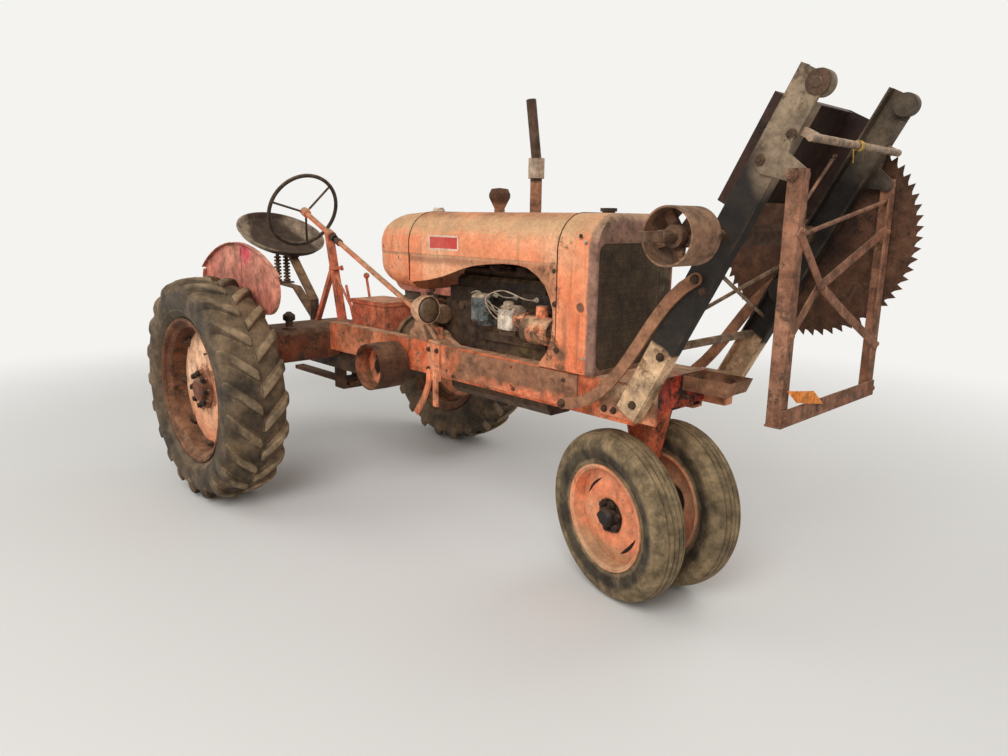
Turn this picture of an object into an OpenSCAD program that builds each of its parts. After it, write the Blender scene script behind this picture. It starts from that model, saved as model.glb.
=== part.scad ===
// Row-crop tractor of the 1940s with a cordwood saw bolted to the front of its frame.
// Lengths are in millimetres. X points forward, Y to the left and Z up from the floor.
// Inside the modules X counts from the rear axle, and place() moves the machine to its own centre.

/* [Stance] */
// Distance between the rear axle and the steering axis
wheelbase = 2235; // [2200:5:2300]
// Distance from the centre line to the middle of a rear tyre
rear_half_tread = 855; // [855:5:1000]
// Distance from the centre line to the middle of a front tyre, at the hub
front_half_tread = 147; // [145:1:165]
// Outward lean of the top of each front wheel, in degrees
front_camber = 2.9; // [1:0.1:4]
// Turn of the front wheels as the tractor is parked, in degrees to the left
parked_turn = -12; // [-16:1:0]

/* [Rear wheels] */
// Radius of a rear tyre over its lugs
rear_tyre_r = 600; // [595:1:620]
// Width of a rear tyre
rear_tyre_w = 320; // [300:1:340]
// Lugs on each half of a rear tyre
lug_count = 21; // [18:1:22]
// Height of a worn lug above the tread
lug_h = 28; // [15:1:40]
// Radius of the rear rim over its flanges
rear_rim_r = 386; // [380:1:392]
// Radius of a rear axle shaft
rear_axle_r = 38; // [32:1:42]

/* [Front wheels] */
// Radius of a front tyre over its ribs
front_tyre_r = 352; // [345:1:358]
// Width of a front tyre
front_tyre_w = 150; // [140:1:155]
// Radius of the front rim over its flanges
front_rim_r = 221; // [215:1:226]
// Radius of the stub that carries a front wheel
stub_r = 22; // [18:1:26]
// Radius of the upright steering shaft in the pedestal
kingpin_r = 26; // [20:1:32]

/* [Frame] */
// Height of the top of the frame rails above the floor
rail_top = 925; // [915:1:935]
// Height of a frame rail
rail_h = 157; // [150:1:165]
// Distance from the centre line to the outside of a rail
rail_half_w = 235; // [228:1:240]
// Width of a rail's flanges
rail_flange = 65; // [55:1:70]
// Thickness of a rail's web
rail_web = 8; // [6:1:12]
// Thickness of a rail's flanges
rail_lip = 10; // [8:1:14]
// Length of the rails ahead of the steering axis
rail_overhang = 100; // [90:5:110]
// Thickness of the plates bolted outside the rails
plate_t = 8; // [6:1:10]

/* [Hood and radiator] */
// Distance from the centre line to the side of the hood
hood_half_w = 250; // [246:1:256]
// Height of the top of the hood
hood_top = 1545; // [1535:5:1560]
// Radius of the upper corners of the hood and the radiator shell
hood_corner_r = 150; // [120:5:160]
// Height of the crease along the side of the hood
crease_z = 1352; // [1340:1:1365]
// Rear end of the fuel tank
tank_rear_x = 600; // [580:5:620]
// Length of the dome at the tank's rear end
dome_len = 330; // [280:10:360]
// Seam between the fuel tank and the hood
strap_x = 970; // [950:5:1000]
// Distance from the steering axis back to the front of the radiator shell
shell_setback = 90; // [80:1:100]
// Depth of the radiator shell
shell_depth = 200; // [190:5:220]
// Thickness of the hood's sheet metal
sheet = 4; // [3:0.5:6]
// Half the width of the opening in the radiator shell
grille_half_w = 236; // [226:1:237]
// Pitch of the bars of the grille
grille_pitch = 24; // [20:1:32]

/* [Engine] */
// Half the width of the engine block
block_half_w = 96; // [90:1:98]
// Front face of the engine block
block_front_x = 1780; // [1760:5:1790]
// Rear face of the engine block
block_rear_x = 1070; // [1050:5:1090]
// Height of the top of the cylinder head's cover
head_top = 1250; // [1230:5:1265]
// Radius of the cooling fan
fan_r = 190; // [170:5:200]

/* [Driver's place] */
// Radius of the steering wheel
steering_wheel_r = 245; // [230:1:255]
// Radius of the seat pan
seat_r = 280; // [260:5:290]
// Depth of the seat pan
seat_depth = 97; // [85:1:110]

/* [Belt pulley] */
// Radius of the belt pulley
pulley_r = 116; // [108:1:122]
// Width of the belt pulley's face
pulley_w = 168; // [150:1:175]

/* [Cordwood saw] */
// Lean of the saw's beams from upright, in degrees
beam_lean = 28; // [26:0.2:29]
// Thickness of the block between the left rail and its beam
left_spacer = 45; // [35:1:55]
// Distance that the left beam stands ahead of the right one
left_forward = 28; // [0:1:35]
// Width of a beam
beam_w = 100; // [90:1:110]
// Length of a beam from its lower bolt to its upper end
beam_len = 1222; // [1180:1:1230]
// Radius of the saw blade over its teeth
blade_r = 381; // [360:1:390]
// Teeth around the saw blade
tooth_count = 64; // [48:1:80]
// Thickness of the saw blade
blade_t = 4; // [3:0.5:6]
// Radius of the arbor that carries the blade
arbor_r = 20; // [16:1:24]
// Radius of the pulley that drives the saw
saw_pulley_r = 89; // [80:1:100]
// Width of the pulley that drives the saw
saw_pulley_w = 150; // [120:5:160]
// Height of the hanging carriage below its pivots
carriage_drop = 732; // [650:1:760]

/* [Hidden] */

// Paints
orange_paint = "#c9512e";
red_paint = "#a5382c";
rust = "#6b4436";
bare_steel = "#8b8378";
black_steel = "#2b2a2a";
rubber_black = "#33332f";
greasy_iron = "#4a463c";

// Clearances and small shared sizes
running = 0.05;
seat_gap = 0.3;
past = 1;
round_fn = 64;
bolt_r = 8;

// Frame
rail_rear_x = 180;
rail_front_x = wheelbase + rail_overhang;
rail_bottom = rail_top - rail_h;
rail_inner_w = rail_half_w - rail_flange;
plate_rear_x = 1208;
plate_front_x = wheelbase - 173;
shoe_rear_x = wheelbase - 55;
shoe_front_x = wheelbase + 205;
shoe_t = 10;

// Turns a piece made for the right-hand side into its left-hand twin
module on_left() mirror([0, 1, 0]) children();

// Extrudes an outline in X and Z between two values of Y
module slab(y_low, y_high) translate([0, y_high, 0]) rotate([90, 0, 0])
    linear_extrude(y_high - y_low) children();

// Extrudes an outline in Y and Z between two values of X
module run(x_low, x_high) translate([x_low, 0, 0]) rotate([90, 0, 90])
    linear_extrude(x_high - x_low) children();

// Round bar between two points
module bar(p, q, r, fn = 24) {
    d = q - p;
    len = norm(d);
    turn = atan2(d[1], d[0]);
    tip = acos(d[2] / len);
    translate(p) rotate([0, tip, turn]) cylinder(r = r, h = len, $fn = fn);
}

// Cylinder along Y between two values of Y, at a place in X and Z
module pin_y(x, z, y_low, y_high, r, fn = 32)
    translate([x, y_high, z]) rotate([90, 0, 0]) cylinder(r = r, h = y_high - y_low, $fn = fn);

// Cylinder along X between two values of X, at a place in Y and Z
module pin_x(y, z, x_low, x_high, r, fn = 32)
    translate([x_low, y, z]) rotate([0, 90, 0]) cylinder(r = r, h = x_high - x_low, $fn = fn);

// Solid of revolution about an axis along Y, with points of radius and outward distance
module wheel_turned(points, fn = 96)
    rotate([90, 0, 0]) rotate_extrude($fn = fn) polygon(points);

// Block between two corners
module block(low, high) translate(low) cube(high - low);

// Rectangle with four equal round corners, between two corners
module round_rect(low, high, r) {
    translate([low[0] + r, low[1]]) square([high[0] - low[0] - 2 * r, high[1] - low[1]]);
    translate([low[0], low[1] + r]) square([high[0] - low[0], high[1] - low[1] - 2 * r]);
    for (x = [low[0] + r, high[0] - r], y = [low[1] + r, high[1] - r])
        translate([x, y]) circle(r = r, $fn = 32);
}

// Flat strip of a given width along a centre line of points
function unit(v) = v / norm(v);
function side_step(points, i) =
    let (before = points[max(i - 1, 0)], after = points[min(i + 1, len(points) - 1)],
        d = unit(after - before))
    [-d[1], d[0]];
function strip(points, w) = concat(
    [for (i = [0 : len(points) - 1]) points[i] + side_step(points, i) * w / 2],
    [for (i = [len(points) - 1 : -1 : 0]) points[i] - side_step(points, i) * w / 2]);
function bezier(p, t) = p[0] * pow(1 - t, 3) + 3 * p[1] * t * pow(1 - t,
    2) + 3 * p[2] * t * t * (1 - t) + p[3] * t * t * t;
function arc(centre, r, from, to, steps) =
    [for (i = [0 : steps]) let (a = from + (to - from) * i / steps) centre + r * [cos(a), sin(a)]];

// Frame rails, each a channel that opens inwards
module rail_channel() {
    length = rail_front_x - rail_rear_x;
    difference() {
        block([rail_rear_x, -rail_half_w, rail_bottom], [rail_front_x, -rail_inner_w, rail_top]);
        block([rail_rear_x - past, -rail_half_w + rail_web, rail_bottom + rail_lip],
            [rail_front_x + past, -rail_inner_w + past, rail_top - rail_lip]);
        for (x = [rail_rear_x + 90, rail_rear_x + 150])
            pin_y(x, (rail_top + rail_bottom) / 2 + 30, -rail_half_w - past,
            -rail_half_w + rail_web + past, bolt_r);
    }
}

module frame_rail_right() color(orange_paint) difference() {
    rail_channel();
    pin_y(pulley_x, pulley_z, -rail_half_w - past, -rail_inner_w + past, pulley_case_r);
}

module frame_rail_left() color(orange_paint) on_left() rail_channel();

// Worn plates bolted outside the rails, and the shoes that take the saw's beams
module side_plate_set() {
    difference() {
        block([plate_rear_x, -rail_half_w - plate_t, rail_bottom + 12],
            [plate_front_x, -rail_half_w, rail_top - 8]);
        for (x = [plate_rear_x + 40, plate_rear_x + 480], z = [rail_bottom + 40, rail_top - 35])
            pin_y(x, z, -rail_half_w - plate_t - past, -rail_half_w + past, bolt_r);
    }
    block([shoe_rear_x, -rail_half_w - shoe_t, rail_bottom + 20],
        [shoe_front_x, -rail_half_w, rail_top - 6]);
}

module side_plates() color(rust) {
    side_plate_set();
    on_left() side_plate_set();
    block([beam_foot[0] - 70, beam_in_y, rail_bottom + 20], [shoe_front_x, left_in_y, rail_top - 6]);
}

// Front bolster with the pedestal below it, which carries the steering shaft
bolster_rear_x = wheelbase - 115;
pedestal_low_z = 520;
pedestal_high_z = rail_bottom + 20;
front_plate_t = 8;

module front_bolster() color(orange_paint) difference() {
    union() {
        block([bolster_rear_x, -rail_inner_w, pedestal_high_z - 4], [rail_front_x, rail_inner_w, rail_top]);
        block([rail_front_x, -rail_half_w, rail_bottom + 30],
            [rail_front_x + front_plate_t, rail_half_w, rail_top]);
        translate([wheelbase, 0, pedestal_low_z]) rotate_extrude($fn = round_fn)
            polygon([[0, 0], [54, 0], [54, 40], [92, pedestal_high_z - pedestal_low_z - 30],
                [98, pedestal_high_z - pedestal_low_z], [0, pedestal_high_z - pedestal_low_z]]);
    }
    translate([wheelbase, 0, pedestal_low_z - past]) cylinder(r = kingpin_r + running, h = 230, $fn = 48);
    pin_x(relay_y, relay_z, bolster_rear_x - past, bolster_rear_x + 40, relay_r + running);
}

// Transmission and rear axle casting between the rails
case_rear_x = -400;
case_step_z = 858;
case_top_z = 900;
case_low_z = 640;
module transmission_case() color(greasy_iron) {
    slab(-rail_inner_w, rail_inner_w) polygon([[case_rear_x, 700], [case_rear_x, case_step_z],
        [-20, case_step_z],
        [10, case_top_z], [700, case_top_z], [700, 650], [580, 630], [440, case_low_z],
        [-180, case_low_z], [-240, 670]]);
    pin_x(0, crank_z, 700, block_rear_x, 142, 48);
    pin_x(0, crank_z, 700, 730, 160, 48);
}

// Final drives: a sleeve out from the case and a drop housing down to the axle
axle_z = rear_tyre_r;
sleeve_end_y = 600;
drop_outer_y = 680;
hub_inner_y = rear_half_tread - 70;
hub_outer_y = rear_half_tread + 88;

module final_drive() {
    difference() {
        union() {
            slab(-sleeve_end_y, -rail_inner_w) round_rect([-150, 712],
                [rail_rear_x - seat_gap, rail_top - 28], 40);
            slab(-drop_outer_y, -sleeve_end_y) {
                translate([0, axle_z]) circle(r = 135, $fn = round_fn);
                translate([15, 800]) circle(r = 120, $fn = round_fn);
                polygon([[-135, axle_z], [135, axle_z], [135, 800], [-105, 800]]);
            }
            pin_y(0, axle_z, -hub_inner_y, -drop_outer_y, 72, 48);
        }
        pin_y(0, axle_z, -hub_inner_y - past, -drop_outer_y + 40, rear_axle_r + past, 48);
    }
    pin_y(0, axle_z, -hub_outer_y + 12, -drop_outer_y + 40, rear_axle_r, 48);
}

module final_drive_right() color(orange_paint) final_drive();
module final_drive_left() color(orange_paint) on_left() final_drive();

// Engine: crankcase, block, head and cover
crank_z = 850;
block_top = 1130;

module engine_block() color(greasy_iron) {
    block([block_rear_x, -block_half_w, 800], [block_front_x, block_half_w, block_top]);
    block([1340, -block_half_w - 14, 960], [block_front_x - 20, -block_half_w, 1000]);
    for (x = [1190 : 130 : 1710]) pin_y(x, 1100, -block_half_w - 8, -block_half_w, 20, 24);
    block([block_rear_x + 20, -block_half_w + 8, block_top],
        [block_front_x - 15, block_half_w - 8, head_top - 55]);
    run(block_rear_x + 60, block_front_x - 60) polygon([[-72, head_top - 55], [72, head_top - 55],
        [72, head_top - 18],
        [54, head_top], [-54, head_top], [-72, head_top - 18]]);
    pin_x(0, crank_z, block_front_x, block_front_x + 40, 75, 48);
    pin_x(0, fan_z, block_front_x - 40, block_front_x + 40, 45);
    pin_x(0, fan_z, block_front_x + 40, fan_x + fan_hub + 4, fan_shaft_r);
}

// Oil pan under the crankcase
module oil_pan() color(greasy_iron)
    run(block_rear_x + 30, block_front_x - 20) polygon([[-96, 800], [96, 800], [86, 690], [60, 660],
    [-60, 660], [-86, 690]]);

// Manifold and carburettor on the left of the engine
module manifold() color(rust) {
    pin_x(block_half_w + 46, 1080, block_rear_x + 120, block_front_x - 110, 30);
    for (x = [block_rear_x + 160, block_rear_x + 350, block_front_x - 150])
        pin_y(x, 1080, block_half_w, block_half_w + 46, 24);
    translate([exhaust_x, exhaust_y, 1080]) cylinder(r = 24, h = 190, $fn = 32);
    translate([block_rear_x + 250, block_half_w + 46, 960]) cylinder(r = 34, h = 120, $fn = 32);
}

exhaust_x = 1458;
exhaust_y = 122;
exhaust_r = 27;

// Exhaust stack through the hood, with its sleeve, clamp and leaning upper pipe
module exhaust_stack() color(black_steel) {
    translate([exhaust_x, exhaust_y, 1270]) cylinder(r = exhaust_r, h = 440, $fn = 32);
    translate([exhaust_x, exhaust_y, 1700]) cylinder(r = exhaust_r + 10, h = 90, $fn = 32);
    translate([exhaust_x, exhaust_y, 1780]) rotate([0, -9, 0])
        cylinder(r = exhaust_r - 4, h = 272, $fn = 32);
}

// Air cleaner outside the left of the hood, with its stack and capped bowl
cleaner_x = 990;
cleaner_y = 330;
module air_cleaner() color(orange_paint) {
    translate([cleaner_x, cleaner_y, rail_top + 60]) cylinder(r = 72, h = 250, $fn = 48);
    translate([cleaner_x, cleaner_y, rail_top + 310]) cylinder(r = 28, h = 330, $fn = 32);
    translate([cleaner_x, cleaner_y, rail_top + 640]) rotate_extrude($fn = 48)
        polygon([[0, 0], [26, 0], [56, 60], [56, 78], [44, 104], [0, 110]]);
    block([cleaner_x - 30, rail_half_w - 40, rail_top], [cleaner_x + 30, rail_half_w + 30, rail_top + 8]);
    block([cleaner_x - 30, rail_half_w + 16, rail_top + 8],
        [cleaner_x + 30, rail_half_w + 30, rail_top + 180]);
}

// Magneto, generator and oil filter on the right of the engine
module magneto() color(bare_steel) {
    block([1555, -block_half_w - 105, 1040], [1640, -block_half_w - 15, 1130]);
    block([1545, -block_half_w - 90, 1015], [1650, -block_half_w, 1040]);
    pin_x(-block_half_w - 60, 1085, 1640, 1700, 38);
}

module generator() color(orange_paint) {
    pin_x(-block_half_w - 70, 1055, 1712, 1870, 60, 48);
    pin_x(-block_half_w - 70, 1055, 1870, 1890, 40, 32);
    block([1730, -block_half_w - 60, 1000], [1778, -block_half_w, 1050]);
    translate([1790, -block_half_w - 70, 1105]) cylinder(r = 26, h = 55, $fn = 32);
}

module oil_filter() color("#3f5360") {
    translate([1403, -block_half_w - 65, 1060]) rotate_extrude($fn = 48)
        polygon([[0, 0], [44, 0], [48, 6], [48, 108], [40, 120], [12, 124], [0, 124]]);
    block([1370, -block_half_w - 60, 1035], [1436, -block_half_w, 1060]);
}

// Cooling fan on its hub in front of the engine
fan_z = 1190;
fan_x = block_front_x + 118;
fan_hub = 42;
fan_shaft_r = 14;
module cooling_fan() color(black_steel) difference() {
    union() {
        pin_x(0, fan_z, fan_x, fan_x + fan_hub, 42);
        for (a = [0 : 90 : 270]) translate([fan_x + 20, 0, fan_z]) rotate([a, 0, 0])
            translate([0, 0, 30]) rotate([0, 0, 28]) translate([-2, -34, 0]) cube([4, 68, fan_r - 30]);
    }
    pin_x(0, fan_z, fan_x - past, fan_x + fan_hub + past, fan_shaft_r + running);
}

// Radiator behind the grille, standing on the rails
shell_front_x = wheelbase - shell_setback;
shell_rear_x = shell_front_x - shell_depth;
core_front_x = shell_front_x - 70;
core_rear_x = core_front_x - 90;
core_half_w = hood_half_w - 26;
core_low_z = rail_top + 45;
core_high_z = hood_top - 105;
neck_x = core_rear_x + 5;
neck_r = 26;
module radiator_core() color(black_steel) {
    block([core_rear_x, -core_half_w, core_low_z], [core_front_x, core_half_w, core_high_z]);
    block([core_rear_x - 10, -core_half_w - 6, rail_top], [core_front_x + 10, core_half_w + 6, core_low_z]);
    run(core_rear_x - 10, core_front_x + 10)
        polygon([[-core_half_w - 2, core_high_z], [core_half_w + 2, core_high_z],
            [core_half_w - 34, core_high_z + 60], [34 - core_half_w, core_high_z + 60]]);
    translate([neck_x, 0, core_high_z + 60])
        cylinder(r = neck_r, h = hood_top - core_high_z - 54, $fn = 32);
    translate([neck_x, 0, hood_top + 6]) cylinder(r = neck_r + 8, h = 14, $fn = 32);
}

// Outline of the hood across the tractor, with its sides set in below the crease
crease_step = 3;
module hood_outline(low_z, inset, step) {
    r = hood_corner_r - inset;
    w = hood_half_w - inset;
    polygon(concat([[step - w, crease_z - 8], [step - w, low_z], [w - step, low_z],
        [w - step, crease_z - 8], [w, crease_z]],
        arc([w - r, hood_top - inset - r], r, 0, 90, 12),
        arc([r - w, hood_top - inset - r], r, 90, 180, 12),
        [[-w, crease_z]]));
}

// Radiator shell with rounded front edges, its opening and base flange
shell_edge_r = 8;
shell_brow_r = 45;
mouth_low_z = rail_top + 20;
mouth_high_z = hood_top - 115;
module shell_form(inset, low_z) {
    back_x = shell_rear_x - inset;
    face_x = shell_front_x - inset;
    brow_r = shell_brow_r - inset;
    edge_r = shell_edge_r - inset;
    side_y = hood_half_w - inset;
    intersection() {
        run(back_x, face_x) hood_outline(low_z, inset, 0);
        slab(-hood_half_w, hood_half_w) polygon(concat([[face_x, low_z]],
            arc([face_x - brow_r, hood_top - inset - brow_r], brow_r, 0, 90, 8),
            [[back_x - past, hood_top - inset], [back_x - past, low_z]]));
        translate([0, 0, low_z]) linear_extrude(hood_top) polygon(concat([[back_x - past, -side_y]],
            arc([face_x - edge_r, edge_r - side_y], edge_r, -90, 0, 6),
            arc([face_x - edge_r, side_y - edge_r], edge_r, 0, 90, 6), [[back_x - past, side_y]]));
    }
}
module radiator_shell() color(orange_paint) difference() {
    shell_form(0, rail_top);
    shell_form(sheet, rail_top + 6);
    run(shell_front_x - sheet - past, shell_front_x + past)
        round_rect([-grille_half_w, mouth_low_z], [grille_half_w, mouth_high_z], 38);
    block([shell_rear_x + 20, -core_half_w - 10, rail_top - past],
        [shell_front_x - 20, core_half_w + 10, rail_top + 7]);
    translate([neck_x, 0, hood_top - sheet - past])
        cylinder(r = neck_r + 1, h = sheet + 2 * past, $fn = 32);
}

// Grille of crossed bars behind the opening
grille_lap = 5;
grille_bar = 7;
module grille() color(black_steel) run(shell_front_x - sheet - 8, shell_front_x - sheet) difference() {
    round_rect([-grille_half_w - grille_lap, mouth_low_z - 12],
        [grille_half_w + grille_lap, mouth_high_z + 12], 44);
    for (y = [grille_pitch / 2 : grille_pitch : grille_half_w - grille_pitch / 2], side = [-1, 1],
        z = [mouth_low_z + 12 : grille_pitch : mouth_high_z - grille_pitch - 8])
        translate([side * y - (grille_pitch - grille_bar) / 2, z]) square(grille_pitch - grille_bar);
}

// Fuel tank with a domed rear end, in rings from the rear face to the seam
tank_low_z = 1168;
dome_inset = 130;
cap_x = 891;
neck_h = 2;
function tank_ring(x, inset) =
    let (w = hood_half_w - inset, low = tank_low_z + inset * 0.8, high = hood_top - inset * 0.8,
        high_r = hood_corner_r * (1 - inset / 220), low_r = 95 * (1 - inset / 260), low_w = w - crease_step)
    [for (p = concat(arc([w - high_r, high - high_r], high_r, 0, 90, 6), arc([high_r - w, high - high_r],
    high_r, 90, 180, 6),
        [[-w, crease_z], [-low_w, crease_z - 8]],
        arc([low_r - low_w, low + low_r], low_r, 180, 270, 6), arc([low_w - low_r, low + low_r],
        low_r, 270, 360, 6),
        [[low_w, crease_z - 8], [w, crease_z]])) [x, p[0], p[1]]];
// Shares of the dome's length at which a ring stands
dome_rings = [0, 0.03, 0.1, 0.22, 0.38, 0.6, 1];
module fuel_tank() color(orange_paint) {
    translate([cap_x, 0, hood_top - 20]) cylinder(r = 33, h = 20 + neck_h, $fn = 32);
    rings = concat([for (t = dome_rings) tank_ring(tank_rear_x + t * dome_len,
        dome_inset * (1 - sqrt(1 - pow(1 - t, 2))))],
        [tank_ring(strap_x, 0)]);
    n = len(rings[0]);
    m = len(rings);
    polyhedron(points = [for (r = rings, p = r) p], faces = concat(
        [[for (i = [0 : n - 1]) i]],
        [for (k = [0 : m - 2], i = [0 : n - 1])
            [k * n + i, (k + 1) * n + i, (k + 1) * n + (i + 1) % n, k * n + (i + 1) % n]],
        [[for (i = [n - 1 : -1 : 0]) (m - 1) * n + i]]));
}

// Filler cap on the tank
module fuel_cap() color(bare_steel) {
    translate([cap_x, 0, hood_top + neck_h]) cylinder(r = 30, h = 12, $fn = 32);
    translate([cap_x, 0, hood_top + neck_h + 12]) cylinder(r = 24, h = 8, $fn = 32);
}

// Hood: a bent sheet over the engine, with the side opening and the strap at its rear
module hood() color(orange_paint) difference() {
    run(strap_x, shell_rear_x) hood_outline(rail_top, 0, crease_step);
    run(strap_x - past, shell_rear_x + past) hood_outline(rail_top - past, sheet, crease_step);
    slab(-hood_half_w - past, hood_half_w + past)
        polygon([[strap_x - past, rail_top - past], [strap_x - past, 1208],
        [1120, 1228], [1222, 1250], [1307, 1276], [1377, 1297], [1445, 1312], [shell_rear_x - 413, 1323],
        [shell_rear_x - 308, 1331], [shell_rear_x - 227, 1330], [shell_rear_x - 169, 1321],
        [shell_rear_x - 111, 1293],
        [shell_rear_x - 68, 1256], [shell_rear_x - 39, 1208], [shell_rear_x - 22, 1160],
        [shell_rear_x - 19, 1110],
        [shell_rear_x - 26, 1048], [shell_rear_x - 49, 987], [shell_rear_x - 90, 939],
        [shell_rear_x - 92, rail_top - past]]);
    translate([exhaust_x, exhaust_y, hood_top - 60]) cylinder(r = exhaust_r + 12, h = 120, $fn = 32);
}

// Head lamp on its bracket
lamp_x = 1150;
lamp_y = -300;
lamp_z = 1095;
module head_lamp() color(orange_paint) {
    translate([lamp_x, lamp_y, lamp_z]) rotate([0, 90, 0]) rotate_extrude($fn = 48)
        polygon([[0, -55], [30, -50], [52, -34], [64, -6], [66, 18], [64, 30], [56, 34], [0, 38]]);
    bar([lamp_x - 15, -rail_half_w + 25, rail_top + 10], [lamp_x - 5, lamp_y + 12, lamp_z - 52], 11);
    block([lamp_x - 30, -rail_half_w, rail_top], [lamp_x + 35, -rail_inner_w - 4, rail_top + 14]);
}

// Steering column: post, slanted leg and thin stay, with the bearing at the top
post_x = -65;
joint_at = [-106, 0, 1374];
hub_centre = [-500, 0, 1550];
column_tilt = atan2(joint_at[0] - hub_centre[0], joint_at[2] - hub_centre[2]);
column_reach = norm(joint_at - hub_centre);
column_r = 16;
joint_r = 18;
shaft_end = [1309, -150, 872];
shaft_r = 15;
relay_y = -150;
relay_z = 872;
relay_r = 16;
module along_column() translate(joint_at) rotate([0, column_tilt, 0]) children();

module steering_post() color(red_paint) difference() {
    union() {
        slab(-22, 22) polygon([[post_x - 20, case_step_z + 12], [post_x + 20, case_step_z + 12],
            [-172, 1398], [-206, 1398]]);
        block([post_x - 40, -40, case_step_z], [post_x + 35, 40, case_step_z + 14]);
        along_column() translate([0, 0, -104]) cylinder(r = 28, h = 52, $fn = 32);
        slab(-14, 14) polygon([[-382, case_step_z], [-350, case_step_z], [-150, 1190], [-166, 1222]]);
        bar([120, 0, case_top_z - 10], [-118, 0, 1150], 8);
        block([90, -25, case_top_z], [150, 25, case_top_z + 10]);
    }
    along_column() translate([0, 0, -200]) cylinder(r = column_r + running, h = 300, $fn = 32);
    block([80, -30, case_top_z - 40], [160, 30, case_top_z]);
}

// Steering wheel with its three dished spokes and upper shaft
rim_tube_r = 12;
spoke_turn = 17;
module steering_wheel() color(black_steel) along_column() translate([0, 0, -column_reach]) {
    rotate_extrude($fn = round_fn)
        translate([steering_wheel_r - rim_tube_r, 0]) circle(r = rim_tube_r, $fn = 16);
    translate([0, 0, 8]) cylinder(r = 26, h = 50, $fn = 32);
    for (a = [0, 120, 240])
        rotate([0, 0, a + spoke_turn]) bar([18, 0, 32], [steering_wheel_r - rim_tube_r, 0, 0], 7, 16);
    translate([0, 0, 20]) cylinder(r = column_r, h = column_reach - joint_r - 21, $fn = 32);
    translate([0, 0, column_reach - 46]) cylinder(r = 22, h = 26, $fn = 32);
}

// Lower steering shaft from the universal joint down to the frame
lower_way = shaft_end - joint_at;
lower_dir = unit(lower_way);
module steering_shaft() color(orange_paint) {
    bar(joint_at, shaft_end, shaft_r, 32);
    bar(joint_at + lower_dir * 20, joint_at + lower_dir * 46, 22, 32);
    translate(joint_at) sphere(r = joint_r, $fn = 32);
}

// Bracket that carries the lower shaft beside the bell housing
bracket_share = 0.8523;
module shaft_bracket() color(greasy_iron) {
    p = joint_at + lower_way * bracket_share;
    difference() {
        union() {
            bar(p - lower_dir * 16, p + lower_dir * 16, 26, 32);
            block([p[0] - 16, -rail_half_w + 10, rail_top], [p[0] + 16, p[1] - 15, rail_top + 12]);
        }
        bar(p - lower_dir * 60, p + lower_dir * 60, shaft_r + running, 32);
    }
}

// Relay shaft along the frame to the bolster, driven by the lower shaft
module steering_relay() color(greasy_iron) {
    pin_x(relay_y, relay_z, shaft_end[0] + 12, bolster_rear_x + 36, relay_r);
    pin_x(relay_y, relay_z, shaft_end[0] + 12, shaft_end[0] + 50, relay_r + 6);
}

// Seat pan, a dished steel bucket, on its slanted bar and spring
seat_x = -810;
seat_z = 1407;
seat_tilt = 27;
module at_seat() translate([seat_x, 0, seat_z]) rotate([0, seat_tilt, 0]) children();
module seat_pan() color("#8d857b") at_seat() rotate_extrude($fn = round_fn)
    polygon([[0, -seat_depth], [90, -seat_depth], [170, -seat_depth + 18], [seat_cone_r, -seat_depth + 42],
        [seat_r - 14, -34], [seat_r, -9], [seat_r + 8, -8], [seat_r + 8, 0], [seat_r - 4, 0],
        [seat_r - 19, -31],
        [226, -seat_depth + 48], [167, -seat_depth + 24], [88, -seat_depth + 6], [0, -seat_depth + 6]]);

// Bar, pad, coil springs and bracket that carry the seat behind the transmission case
seat_cone_r = 230;
pad_x = 200;
pad_z = -seat_depth + 30;
seat_bar_t = 14;
spring_x = seat_x - 10;
spring_low_z = 1072;
spring_high_z = seat_z - seat_depth * cos(seat_tilt) - 29;
function seat_place(x, z) = [seat_x + x * cos(seat_tilt) + z * sin(seat_tilt),
    seat_z - x * sin(seat_tilt) + z * cos(seat_tilt)];
module seat_support() color(greasy_iron) {
    slab(-30, 30) polygon(strip([[case_rear_x - seat_bar_t / 2, 790], [case_rear_x - seat_bar_t / 2, 985],
        seat_place(pad_x + 5, pad_z - 9)], seat_bar_t));
    slab(-30, 30) polygon(strip([[spring_x - 60, spring_low_z - 7], [spring_x + 190, spring_low_z - 22],
        [case_rear_x - seat_bar_t / 2, 880]], seat_bar_t));
    at_seat() translate([pad_x, 0, pad_z]) rotate([0, -atan2(24, seat_cone_r - 170), 0])
        translate([-28, -30, -8]) cube([56, 60, 8]);
    at_seat() translate([30, 0, -seat_depth - 6]) cylinder(r = 58, h = 6, $fn = 48);
    block([spring_x - 40, -64, spring_low_z - 8], [spring_x + 40, 64, spring_low_z + 4]);
    for (side = [-1, 1]) translate([spring_x, side * 32, spring_low_z]) rotate_extrude($fn = 32) {
        square([12, spring_high_z - spring_low_z]);
        for (k = [0 : 7]) translate([17, 14 + k * 22]) circle(r = 7, $fn = 16);
    }
}

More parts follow.
